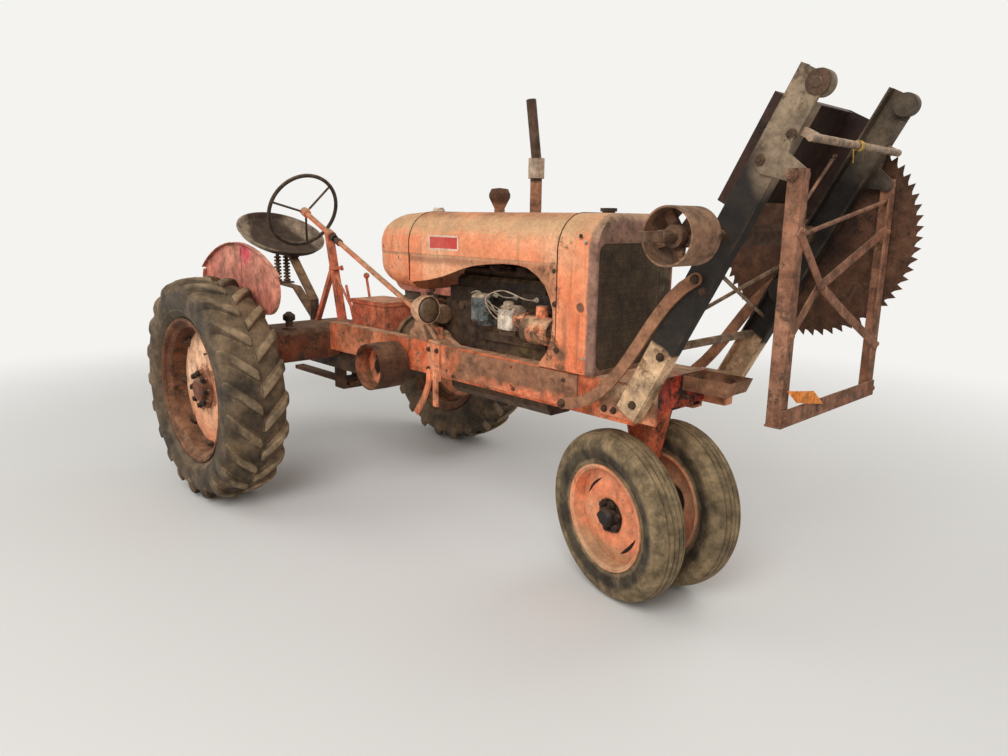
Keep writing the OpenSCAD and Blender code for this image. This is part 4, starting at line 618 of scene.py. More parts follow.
nodeFinish = {
    "orangePaint": "hanger_brackets", "driveFinish": "final_drive_right final_drive_left",
    "cupFinish": "air_cleaner", "lampShell": "head_lamp",
    "hoodFinish": "hood", "tankFinish": "fuel_tank", "shellFinish": "radiator_shell",
    "rearWheelFinish": "rear_wheel_right rear_wheel_left", "frontWheelFinishRight": "front_wheel_right",
    "frontWheelFinishLeft": "front_wheel_left", "steeringWheelFinish": "steering_wheel",
    "shaftFinish": "steering_shaft", "bolsterFinish": "front_bolster",
    "railPaint": "frame_rail_right frame_rail_left",
    "redPaint": "tool_box control_levers", "postFinish": "steering_post",
    "fenderFinish": "fender_right fender_left", "plateFinish": "side_plates",
    "rustPlate": "saw_braces manifold front_tray", "pulleyFinish": "belt_pulley",
    "arborFinish": "saw_arbor", "bladeFinish": "saw_blade", "ironRust": "log_carriage",
    "guardPaint": "saw_guard", "darkRust": "drawbar", "stackFinish": "exhaust_stack",
    "blackPaint": "cooling_fan radiator_core grille", "beamFinishRight": "saw_beam_right",
    "beamFinishLeft": "saw_beam_left", "collarFinish": "shaft_bracket", "blockFinish": "engine_block",
    "greasyIron": "transmission_case oil_pan steering_relay seat_support pulley_housing arbor_bearings front_spindle",
    "magnetoFinish": "magneto", "generatorFinish": "generator", "aluminium": "fuel_cap",
    "seatFinish": "seat_pan", "filterPaint": "oil_filter", "bareSteel": "saw_cross_bars",
    "rearRubber": "rear_tyre_right rear_tyre_left", "frontTyreFinishRight": "front_tyre_right",
    "frontTyreFinishLeft": "front_tyre_left",
}
for name, nodes in nodeFinish.items():
    for node in nodes.split():
        for holder in cadNodes[node].material_slots:
            holder.material = materials[name]
unfinished = set(cadNodes) - {node for nodes in nodeFinish.values() for node in nodes.split()}
print("nodes without a finish:", sorted(unfinished))


# Mesh helpers: every piece is a closed mesh with its place in its points
def meshPiece(name, body, finishName, slotName, points, faces, smooth=True, tidy=True):
    mesh = bpy.data.meshes.new(name)
    mesh.from_pydata([tuple(point) for point in points], [], faces)
    return finishPiece(name, mesh, body, finishName, smooth, tidy)


def finishPiece(name, mesh, body, finishName, smooth=True, tidy=True):
    if tidy:
        work = bmesh.new()
        work.from_mesh(mesh)
        bmesh.ops.remove_doubles(work, verts=work.verts, dist=1e-6)
        bmesh.ops.recalc_face_normals(work, faces=work.faces)
        work.to_mesh(mesh)
        work.free()
    for face in mesh.polygons:
        face.use_smooth = smooth
    if smooth:
        mesh.set_sharp_from_angle(angle=math.radians(35))
    mesh.materials.clear()
    mesh.materials.append(materials[finishName])
    piece = bpy.data.objects.new(name, mesh)
    bpy.context.scene.collection.objects.link(piece)
    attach(piece, body)
    return piece


def mm(*rows):
    # rows of millimetres as metres
    return [tuple(value / 1000 for value in row) for row in rows]


def turnedPoints(centre, way, profile, count, closed=False):
    # points and faces of a turned shape; the profile has rows of radius and distance along the way
    side, other, way = squareFrame(way)
    points, faces, rings = [], [], []
    for radius, along in profile:
        middle = Vector(centre) + way * along
        if radius < 1e-6:
            rings.append([len(points)])
            points.append(middle)
        else:
            rings.append(list(range(len(points), len(points) + count)))
            for step in range(count):
                angle = 2 * math.pi * step / count
                points.append(middle + (side * math.cos(angle) + other * math.sin(angle)) * radius)
    pairs = list(zip(rings, rings[1:])) + ([(rings[-1], rings[0])] if closed else [])
    for first, second in pairs:
        for step in range(count):
            after = (step + 1) % count
            if len(first) == 1 and len(second) > 1:
                faces.append((first[0], second[step], second[after]))
            elif len(second) == 1 and len(first) > 1:
                faces.append((first[step], second[0], first[after]))
            elif len(first) > 1:
                faces.append((first[step], second[step], second[after], first[after]))
    return points, faces


def joined(*shapes):
    points, faces = [], []
    for somePoints, someFaces in shapes:
        start = len(points)
        points += somePoints
        faces += [tuple(index + start for index in face) for face in someFaces]
    return points, faces


def ringFaces(rings):
    # sides between rings that have the same number of points
    return [(first[k], first[(k + 1) % len(first)], second[(k + 1) % len(first)], second[k])
            for first, second in zip(rings, rings[1:]) for k in range(len(first))]


def levelFaces(count, levels):
    return ringFaces([range(count * k, count * (k + 1)) for k in range(levels)])


def sweptPoints(path, radius, count=10):
    # points and faces of a tube along a path, with closed ends
    path = [Vector(point) for point in path]
    points, rings, side = [], [], None
    for index, middle in enumerate(path):
        way = (path[min(index + 1, len(path) - 1)] - path[max(index - 1, 0)]).normalized()
        side = squareFrame(way)[0] if side is None else (side - way * side.dot(way)).normalized()
        other = way.cross(side)
        rings.append(list(range(len(points), len(points) + count)))
        for step in range(count):
            angle = 2 * math.pi * step / count
            points.append(middle + (side * math.cos(angle) + other * math.sin(angle)) * radius)
    faces = ringFaces(rings)
    for ring, end in ((rings[0], path[0]), (rings[-1], path[-1])):
        points.append(end)
        for step in range(count):
            faces.append((ring[step], ring[(step + 1) % count], len(points) - 1))
    return points, faces


def blockPoints(low, high, bevel=0.0):
    # a block between two corners, its upright edges cut back by the bevel
    (x0, y0, z0), (x1, y1, z1) = low, high
    ring = [(x0 + bevel, y0), (x1 - bevel, y0), (x1, y0 + bevel), (x1, y1 - bevel), (x1 - bevel, y1),
            (x0 + bevel, y1), (x0, y1 - bevel), (x0, y0 + bevel)]
    points = [Vector((x, y, z)) for z in (z0, z1) for x, y in ring]
    return points, levelFaces(8, 2) + [tuple(range(7, -1, -1)), tuple(range(8, 16))]


# Geometry Nodes: a tree is placed on a small carrier mesh and its result becomes a plain mesh
def newGeometryTree(name, inputs):
    tree = bpy.data.node_groups.new(name, "GeometryNodeTree")
    tree.is_modifier = True
    groupSockets(tree, [("Geometry", "NodeSocketGeometry", None)] + inputs + [("Finish", "NodeSocketMaterial", None)],
            [("Geometry", "NodeSocketGeometry")])
    return tree, tree.nodes.new("NodeGroupInput").outputs


def endTree(tree, given, shape):
    real = addNode(tree, "GeometryNodeRealizeInstances", {"Geometry": shape}).outputs[0]
    dressed = addNode(tree, "GeometryNodeSetMaterial", {"Geometry": real, "Material": given["Finish"]}).outputs[0]
    tree.links.new(dressed, tree.nodes.new("NodeGroupOutput").inputs[0])


def grown(name, tree, carrier, values):
    # the tree's result on a carrier mesh, as a plain mesh
    holder = bpy.data.objects.new(name + "Carrier", carrier)
    bpy.context.scene.collection.objects.link(holder)
    modifier = holder.modifiers.new("grow", "NODES")
    modifier.node_group = tree
    for item in tree.interface.items_tree:
        if item.item_type == "SOCKET" and item.in_out == "INPUT" and item.name in values:
            modifier[item.identifier] = values[item.name]
    bpy.context.view_layer.update()
    mesh = bpy.data.meshes.new_from_object(holder.evaluated_get(bpy.context.evaluated_depsgraph_get()))
    holder.modifiers.clear()
    bpy.data.objects.remove(holder)
    mesh.name = name
    return mesh


def carrierMesh(name, points, edges=(), **attributes):
    mesh = bpy.data.meshes.new(name)
    mesh.from_pydata([tuple(point) for point in points], list(edges), [])
    for key, values in attributes.items():
        vector = not isinstance(values[0], float)
        layer = mesh.attributes.new(key, "FLOAT_VECTOR" if vector else "FLOAT", "POINT")
        for item, value in zip(layer.data, values):
            if vector:
                item.vector = value
            else:
                item.value = value
    return mesh


boltSizes = {"Head Width": 0.019, "Head Height": 0.009, "Washer Width": 0.028, "Washer Height": 0.0025}


def makeBoltTree():
    sockets = [(name, "NodeSocketFloat", value) for name, value in boltSizes.items()]
    tree, given = newGeometryTree("boltHeads", sockets)
    raised = maths(tree, "MULTIPLY_ADD", given["Head Height"], 0.5, given["Washer Height"])
    parts = []
    for sides, width, share, height in ((6, given["Head Width"], 0.577, given["Head Height"]),
            (16, given["Washer Width"], 0.5, given["Washer Height"]), (10, given["Head Width"], 0.27, None)):
        tall = height if height is not None else maths(tree, "MULTIPLY", given["Head Height"], 1.5)
        solid = addNode(tree, "GeometryNodeMeshCylinder",
                {"Vertices": sides, "Radius": maths(tree, "MULTIPLY", width, share), "Depth": tall}).outputs["Mesh"]
        rise = maths(tree, "MULTIPLY", given["Washer Height"], 0.5) if sides == 16 else raised
        lift = addNode(tree, "ShaderNodeCombineXYZ", {"Z": rise}).outputs[0]
        parts.append(addNode(tree, "GeometryNodeTransform", {"Geometry": solid, "Translation": lift}).outputs[0])
    whole = tree.nodes.new("GeometryNodeJoinGeometry")
    for part in parts:
        tree.links.new(part, whole.inputs[0])
    facing = addNode(tree, "GeometryNodeInputNamedAttribute", {"Name": "facing"},
            data_type="FLOAT_VECTOR").outputs["Attribute"]
    size = addNode(tree, "GeometryNodeInputNamedAttribute", {"Name": "size"}, data_type="FLOAT").outputs["Attribute"]
    spin = addNode(tree, "FunctionNodeRandomValue", {"Min": 0.0, "Max": 1.05, "Seed": 7}, data_type="FLOAT")
    spun = addNode(tree, "ShaderNodeCombineXYZ", {"Z": [s for s in spin.outputs if s.enabled][0]}).outputs[0]
    start = addNode(tree, "FunctionNodeEulerToRotation", {0: spun}).outputs[0]
    turn = addNode(tree, "FunctionNodeAlignRotationToVector", {"Rotation": start, "Vector": facing},
            axis="Z").outputs[0]
    placed = addNode(tree, "GeometryNodeInstanceOnPoints",
            {"Points": given["Geometry"], "Instance": whole.outputs[0], "Rotation": turn, "Scale": size}).outputs[0]
    endTree(tree, given, placed)
    return tree


boltTree = makeBoltTree()


def boltRow(name, body, finishName, rows):
    # rows: place, direction, size
    carrier = carrierMesh(name, [row[0] for row in rows], facing=[tuple(row[1]) for row in rows],
            size=[float(row[2]) for row in rows])
    mesh = grown(name, boltTree, carrier, {**boltSizes, "Finish": materials[finishName]})
    return finishPiece(name, mesh, body, finishName, smooth=False, tidy=False)


right, left, ahead, above = Vector((0, -1, 0)), Vector((0, 1, 0)), Vector((1, 0, 0)), Vector((0, 0, 1))


def around(count, start=0):
    # cosine and sine of evenly spaced angles
    angles = [math.radians(360 // count * step + start) for step in range(count)]
    return [(math.cos(angle), math.sin(angle)) for angle in angles]


def makeBolts():
    frameRows, hoodRows, washerRows, engineRows, sawRows, carriageRows = [], [], [], [], [], []
    for side in (-1, 1):
        out = Vector((0, side, 0))

        def beside(rows, y, size, *places):
            rows.extend((fromAxle(x, side * y, z), out, size) for x, z in places)

        beside(frameRows, sizes["railHalf"] + sizes["plate"], 0.7, (1.298, 0.790), (1.703, 0.800), (1.989, 0.887))
        beside(frameRows, 0.245, 1.0, (2.205, 0.812), (2.25, 0.812), (2.40, 0.895), (2.20, 0.89))
        for y, z in ((0.19, 0.83), (0.19, 0.895), (0.10, 0.83)):
            frameRows.append((fromAxle(2.343, side * y, z), ahead, 1.0))
        beside(frameRows, 0.247, 0.9, (1.117, 0.895), (1.180, 0.895), (1.117, 0.80))
        for level, rise in around(6, 30):
            beside(frameRows, 0.680, 0.8, (0.112 * level, 0.600 + 0.112 * rise),
                    (0.015 + 0.098 * level, 0.800 + 0.098 * rise))
        beside(frameRows, 0.672, 0.7, (-0.022, 1.075), (0.022, 1.075))
        beside(hoodRows, 0.247, 0.7, (1.927, 1.318))
        beside(hoodRows, 0.247, 0.9, (1.937, 1.188))
        beside(hoodRows, 0.250, 0.9, (1.955, 1.005))
        beside(washerRows, 0.250, 0.62, (2.088, 1.434), (2.094, 0.989))
        for x in [1.12 + index * 0.103 for index in range(7)]:
            beside(engineRows, 0.096, 0.6, (x, 0.812), (x + 0.03, 1.117))
    engineRows += [(fromAxle(x, 0, 1.2855), above, 0.9) for x in (1.19, 1.41, 1.60)]
    engineRows += [(fromAxle(x, -0.196, 1.130), above, 0.5) for x in (1.565, 1.63)]
    frameRows += [(fromAxle(x, y, 0.872), above, 0.8) for x in (-0.095, -0.040) for y in (-0.03, 0.03)]
    for side, web, forward in ((-1, 0.290, 0.0), (1, 0.335, beam["leftForward"])):
        out = Vector((0, side, 0))
        # columns: across and along the beam, out from its web, size
        for across, along, proud, size in ((0.010, 0.012, 0.008, 1.15), (0.016, 0.232, 0.008, 1.15),
                (0.035, 1.045, 0.0, 1.2), (-0.010, 0.945, 0.0, 1.6), (0.030, 0.510, 0.0, 1.0)):
            sawRows.append((onBeam(across, along, side * (web + proud), forward), out, size))
        sawRows.append((fromAxle(2.035, side * (web + 0.010), 0.808), out, 1.3))
        sawRows.append((onBeam(-0.010, 0.530, side * (web + 0.010), forward), out, 1.2))
    # columns: along the pivots' line, down from it, ahead of it, size
    for y, drop, x, size in ((-0.325, 0.155, 0.033, 0.7), (-0.325, 0.46, 0.028, 0.7), (0.33, 0.55, 0.033, 0.7),
            (0.33, 0.16, 0.028, 0.7), (-0.165, 0.325, 0.034, 0.7), (-0.335, 0.71, 0.034, 0.8),
            (0.33, 0.71, 0.034, 0.8)):
        carriageRows.append((pivotPlace + Vector((x, y, -drop)), ahead, size))
    for y, way in ((-0.358, right), (0.3513, left)):
        carriageRows.append((pivotPlace + Vector((0, y, 0)), way, 1.2))
    for name, body, finishName, slotName, rows in (
            ("frameBolts", tractor, "darkIron", "grease", frameRows),
            ("hoodScrews", tractor, "darkIron", "bare", hoodRows),
            ("shellWashers", tractor, "aluminium", "aluminium", washerRows),
            ("engineBolts", tractor, "greasyIron", "grease", engineRows),
            ("sawFrameBolts", tractor, "darkIron", "rust", sawRows),
            ("carriageBolts", "carriage_body", "ironRust", "rust", carriageRows)):
        boltRow(name, body, finishName, rows)


arborEnd = {"radius": 0.0185, "tip": -0.700}


def makeArborEnd():
    # the arbor's stub past its pulley, with flats for a crank
    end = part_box("saw_arbor")[0].y
    start = Vector((arborPlace.x, end + 0.004, arborPlace.z))
    stub = [(0.0, 0.0), (arborEnd["radius"], 0.0), (arborEnd["radius"], 0.030), (0.0155, 0.033), (0.0155, 0.038),
            (0.0, 0.038)]
    side, up, way = squareFrame(right)
    reach = start.y - arborEnd["tip"]
    ends = ((0.034, 0.0150), (reach - 0.003, 0.0150), (reach, 0.0130))
    corners = ((-1, -1), (1, -1), (1, 1), (-1, 1))
    points = [start + way * along + side * a * size + up * b * size for along, size in ends for a, b in corners]
    faces = [(3, 2, 1, 0), (8, 9, 10, 11)] + levelFaces(4, 3)
    meshPiece("arborEnd", "saw_body", "pulleyIron", "rust",
            *joined(turnedPoints(start, way, stub, 32), (points, faces)))


roller = {"along": 1.195, "disc": 0.036}


def makeRollerCaps():
    # dark end discs of the roller between the beams' upper ends
    shapes = []
    for side, reach, forward in ((-1, 0.290, 0.0), (1, 0.335, beam["leftForward"])):
        middle = onBeam(0.026, roller["along"], side * reach, forward)
        disc = [(0.0, -0.002), (roller["disc"], -0.002), (roller["disc"], 0.003), (roller["disc"] - 0.006, 0.005),
                (0.013, 0.005), (0.012, 0.012), (0.0, 0.013)]
        shapes.append(turnedPoints(middle, (0, side, 0), disc, 28))
    meshPiece("rollerCaps", tractor, "darkIron", "rust", *joined(*shapes))


def makeWheelNuts():
    for name, body, side in rearSides:
        y = side * (sizes["rearTread"] + 0.076)
        rows = [(fromAxle(0.086 * level, y, sizes["axleHeight"] + 0.086 * rise), (0, side, 0), 1.35)
                for level, rise in around(8)]
        boltRow("rearHubNuts" + name, body, "blackGrease", rows)
    for name, body, side in frontSides:
        centre, way = frontHub(side)
        across, up, way = squareFrame(way)
        rows = [(centre + way * 0.026 + (across * level + up * rise) * 0.054, way, 1.45)
                for level, rise in around(6, 15)]
        boltRow("frontHubNuts" + name, body, "blackGrease", rows)


makeBolts()
makeRollerCaps()
makeArborEnd()
makeWheelNuts()
print("bolts made")


# Rear tyres: a round carcass with slanted lugs, alternating left and right
zoned("rearTyreFinish", "rearRubber", [
    (apart(nearLine(*hubs["rear"], 0.583, 0.593)), tones((112, 98, 78), (158, 136, 107), {"Film": 0.52}))],
            ragged=0.006)
rearTyre = {"lugs": 21, "skew": 14.0, "radius": 0.600, "halfWidth": 0.160, "segments": 168, "lugTop": 0.017,
        "lugFoot": 0.029, "sunk": 0.010}
# Columns: distance from the middle, radius
carcassHalf = mm((0, 572), (40, 571), (80, 566), (112, 558), (134, 548), (149, 533), (157, 514), (160, 490),
        (159.2, 467), (156, 448), (152, 433), (153.8, 429), (152.5, 423), (145.5, 414), (137, 404), (129, 396),
        (124, 390), (122, 387))
# Columns: distance from the middle, radius of the top, share of the full width
lugLine = [(0.006, 0.5985, 0.80), (0.012, 0.6000, 0.95), (0.040, 0.5990, 1.0), (0.080, 0.5955, 1.0),
        (0.112, 0.5900, 1.0), (0.134, 0.5830, 1.02), (0.147, 0.5720, 1.05), (0.1545, 0.5560, 1.05),
        (0.1585, 0.5380, 0.95), (0.1600, 0.5200, 0.80), (0.1595, 0.5060, 0.55)]


def carcassRadius(y):
    for (y0, r0), (y1, r1) in zip(carcassHalf, carcassHalf[1:]):
        if y0 <= y <= y1 and r1 > 0.48:
            return r0 + (r1 - r0) * (y - y0) / (y1 - y0)
    return 0.500


def makeLug():
    # one lug of each half about the wheel's centre, ready to be repeated around the tyre
    shapes = []
    pitch = 2 * math.pi / rearTyre["lugs"]
    for side, start in ((1, 1.5 / 4), (-1, 3.5 / 4)):
        points, rings = [], []
        for index, (y, top, share) in enumerate(lugLine):
            foot = min(carcassRadius(y), top) - rearTyre["sunk"]
            slope = start * pitch + math.radians(rearTyre["skew"]) * min(y, 0.147) / rearTyre["halfWidth"]
            upper, lower = rearTyre["lugTop"] * share * 1.32, rearTyre["lugFoot"] * share * 1.32
            inward = 0.004 if index >= len(lugLine) - 3 else 0.0
            ring = []
            for across, radius, yShift in ((-lower, foot, inward), (-upper - 0.004, top - 0.007, 0),
                    (-upper + 0.003, top - 0.001, 0), (-upper / 3, top, 0), (upper / 3, top, 0),
                    (upper - 0.003, top - 0.001, 0), (upper + 0.004, top - 0.007, 0), (lower, foot, inward)):
                angle = slope + across / radius
                ring.append(len(points))
                points.append(Vector((radius * math.cos(angle), side * (y - yShift), radius * math.sin(angle))))
            rings.append(ring)
        shapes.append((points, ringFaces(rings) + [tuple(rings[0]), tuple(rings[-1])]))
    return joined(*shapes)


def makeRingTree():
    # repeats a carrier's shape around the wheel's axle
    tree, given = newGeometryTree("aroundAxle", [("Count", "NodeSocketInt", 21),
            ("Centre", "NodeSocketVector", (0, 0, 0))])
    spots = addNode(tree, "GeometryNodePoints", {"Count": given["Count"]}).outputs[0]
    index = tree.nodes.new("GeometryNodeInputIndex").outputs[0]
    step = maths(tree, "DIVIDE", 2 * math.pi, given["Count"])
    turn = addNode(tree, "ShaderNodeCombineXYZ", {"Y": maths(tree, "MULTIPLY", index, step)}).outputs[0]
    ring = addNode(tree, "GeometryNodeInstanceOnPoints",
            {"Points": spots, "Instance": given["Geometry"],
            "Rotation": addNode(tree, "FunctionNodeEulerToRotation", {0: turn}).outputs[0]}).outputs[0]
    placed = addNode(tree, "GeometryNodeTransform", {"Geometry": ring, "Translation": given["Centre"]}).outputs[0]
    endTree(tree, given, placed)
    return tree


ringTree = makeRingTree()


def makeRearTyres():
    lugPoints, lugFaces = makeLug()
    half = [(radius, y) for y, radius in carcassHalf]
    profile = [(radius, -y) for radius, y in reversed(half[1:])] + half
    profile += [(0.3626, 0.1220), (0.3626, -0.1220)]
    for name, body, side in rearSides:
        centre = fromAxle(0, side * sizes["rearTread"], sizes["axleHeight"])
        carrier = bpy.data.meshes.new("lug")
        carrier.from_pydata([tuple(point) for point in lugPoints], [], lugFaces)
        lugs = grown("lugs" + name, ringTree, carrier,
                {"Count": rearTyre["lugs"], "Centre": tuple(centre), "Finish": materials["rearTyreFinish"]})
        points, faces = turnedPoints(centre, (0, 1, 0), profile, rearTyre["segments"], closed=True)
        work = bmesh.new()
        work.from_mesh(lugs)
        corners = [work.verts.new(point) for point in points]
        for face in faces:
            work.faces.new([corners[index] for index in face])
        bmesh.ops.recalc_face_normals(work, faces=work.faces)
        work.to_mesh(lugs)
        work.free()
        piece = finishPiece("rearTyre" + name, lugs, body, "rearTyreFinish", tidy=False)
        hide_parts("rear_tyre_" + name.lower())


makeRearTyres()
print("rear tyres made")


# Woven wire screen in front of the grille's bars
screen = {"Pitch": 0.0072, "Wire": 0.0016, "Width": 0.480, "Height": 0.500}


def makeScreen():
    sockets = [(name, "NodeSocketFloat", value) for name, value in screen.items()]
    tree, given = newGeometryTree("wovenScreen", sockets)
    whole = tree.nodes.new("GeometryNodeJoinGeometry")
    for along, across, axis, depth in (("Width", "Height", "Y", 0.0), ("Height", "Width", "Z", 0.5)):
        count = maths(tree, "ROUND", maths(tree, "DIVIDE", given[along], given["Pitch"]))
        first = addNode(tree, "ShaderNodeCombineXYZ",
                {axis: maths(tree, "MULTIPLY", given[along], -0.5),
                "X": maths(tree, "MULTIPLY", given["Wire"], depth)}).outputs[0]
        step = addNode(tree, "ShaderNodeCombineXYZ", {axis: given["Pitch"]}).outputs[0]
        spots = addNode(tree, "GeometryNodeMeshLine",
                {"Count": count, "Start Location": first, "Offset": step}).outputs[0]
        size = addNode(tree, "ShaderNodeCombineXYZ", {"X": given["Wire"], axis: given["Wire"],
                "Z" if axis == "Y" else "Y": given[across]}).outputs[0]
        wire = addNode(tree, "GeometryNodeMeshCube", {"Size": size}).outputs["Mesh"]
        row = addNode(tree, "GeometryNodeInstanceOnPoints", {"Points": spots, "Instance": wire}).outputs[0]
        tree.links.new(row, whole.inputs[0])
    middle = fromAxle(sizes["shellFront"] - 0.0032, 0, 1.1875)
    placed = addNode(tree, "GeometryNodeTransform",
            {"Geometry": whole.outputs[0], "Translation": tuple(middle)}).outputs[0]
    endTree(tree, given, placed)
    mesh = grown("grilleScreen", tree, carrierMesh("screenCarrier", [(0, 0, 0)]),
            {**screen, "Finish": materials["blackPaint"]})
    finishPiece("grilleScreen", mesh, tractor, "screenWire", smooth=False, tidy=False)


finishes["screenIron"] = finish((74, 64, 53), (98, 86, 71), (90, 64, 47), (160, 134, 104), 0.7, 0.34, 0.55, 0.22, 0.2,
        0.6, 1.4, 0.28, contrast=0.35)
# the far half of the wire screen lighter grey: painted highlight
zoned("screenWire", "screenIron", [(pastPlane(fromAxle(0, 0.05, 0), (0, 1, 0), 0.0, 0.16), "wornGrey")], ragged=0.01)
makeScreen()
print("screen made")

# Head lamp: a ribbed glass under a rolled rim, on the lamp's own shell
lamp = {"at": (1.150, -0.300, 1.095), "glass": 0.0560, "gasket": 0.0635, "rim": 0.066}


def makeLamp():
    centre = fromAxle(*lamp["at"])
    outer = lamp["glass"]
    rows = [(0.0, 0.0575)] + [(outer * share, 0.0385 + 0.019 * math.sqrt(1 - share * share))
            for share in (0.15, 0.3, 0.45, 0.6, 0.72, 0.83, 0.91, 0.97)]
    rows += [(outer, 0.0385), (outer, 0.0345), (0.0, 0.0345)]
    meshPiece("lampGlass", tractor, "lampGlassDust", "bare", *turnedPoints(centre, ahead, rows, 48))
    seat = [(outer - 0.004, 0.036), (outer - 0.004, 0.0385), (lamp["gasket"], 0.0385), (lamp["gasket"], 0.030),
            (outer - 0.004, 0.030)]
    meshPiece("lampGasket", tractor, "seamGap", "black", *turnedPoints(centre, ahead, seat, 48, closed=True))
    # flared bracket from the rail's top to the back of the lamp
    outline = mm((948, 924), (1072, 924), (1078, 950), (1088, 982), (1106, 1012), (1128, 1040), (1118, 1062),
            (1092, 1066), (1062, 1044), (1030, 1012), (996, 984), (962, 966), (948, 950))
    count = len(outline)
    points = [fromAxle(x, -0.212 - 0.50 * (z - 0.924) - thick, z) for thick in (0.0, 0.009) for x, z in outline]
    faces = [tuple(range(count)), tuple(range(2 * count - 1, count - 1, -1))] + levelFaces(count, 2)
    meshPiece("lampFoot", tractor, "lampShell", "orange", points, faces)
    angles = [2 * math.pi * k / 12 for k in range(12)]
    ring = [(lamp["rim"] - 0.0022 + 0.0038 * math.cos(a), 0.035 + 0.0065 * math.sin(a)) for a in angles]
    meshPiece("lampRim", tractor, "lampShell", "orange", *turnedPoints(centre, ahead, ring, 56, closed=True))


def lampGlassMaterial():
    material = weathered("lampGlassDust", None, [])
    shader = material.node_tree.nodes["Principled BSDF"]
    shader.inputs["Coat Weight"].default_value = 0.35
    shader.inputs["Coat Roughness"].default_value = 0.25
    return material


finishes["seamGap"] = darkGapAndShade
materials["seamGap"] = weathered("seamGap")
finishes["lampGlassDust"] = finish((84, 66, 48), (98, 78, 58), (62, 48, 36), (140, 112, 84), 0.8, 0.3, 0.4, 0.30, 0.3,
        0.0, 2.2, 0.55)
materials["lampGlassDust"] = lampGlassMaterial()
makeLamp()

# Engine fittings: plugs and their leads, dark ports on the head, breathers, starter and the shaft's plate
plugX = (1.310, 1.430, 1.560, 1.690)
plugFace = -0.088
plugZ = 1.172
# Rows: first step out of the cap, places on the way, last step before the plug
leadRoutes = (((-0.034, -0.002, 0.004), ((1.464, -0.172, 1.152), (1.400, -0.178, 1.192)), (0.016, -0.040, 0.006)),
        ((-0.034, -0.006, 0.006), ((1.462, -0.176, 1.150),), (0.008, -0.044, 0.0)),
        ((-0.040, -0.002, 0.006), ((1.460, -0.190, 1.150), (1.496, -0.182, 1.194)), (-0.022, -0.036, 0.004)),
        ((-0.034, -0.002, 0.004), ((1.464, -0.196, 1.161), (1.570, -0.196, 1.210)), (-0.016, -0.040, 0.006)))
leadRadius = 0.0028
leadStarts = ((-0.172, 1.112), (-0.140, 1.112), (-0.172, 1.080), (-0.140, 1.080))


def smoothPath(corners, count):
    # points evenly spaced along a smooth curve through the corners
    corners = [Vector(corner) for corner in corners]
    dense = []
    for index in range(len(corners) - 1):
        a = corners[max(index - 1, 0)]
        b, c = corners[index], corners[index + 1]
        d = corners[min(index + 2, len(corners) - 1)]
        square, cube = 2 * a - 5 * b + 4 * c - d, 3 * b - a - 3 * c + d
        for step in range(24):
            t = step / 24
            dense.append(0.5 * (2 * b + (c - a) * t + square * t * t + cube * t ** 3))
    dense.append(corners[-1])
    runs = [0.0]
    for first, second in zip(dense, dense[1:]):
        runs.append(runs[-1] + (second - first).length)
    points = []
    for step in range(count):
        goal = runs[-1] * step / (count - 1)
        index = min(max(k for k, run in enumerate(runs) if run <= goal + 1e-12), len(dense) - 2)
        share = (goal - runs[index]) / (runs[index + 1] - runs[index])
        points.append(dense[index].lerp(dense[index + 1], share))
    return points


engineBits = {"breathers": (1.515, 1.330), "cover": 1.250, "ridge": 0.034, "ridgeRear": 1.130,
        "starter": (0.925, -0.1425, 1.055)}


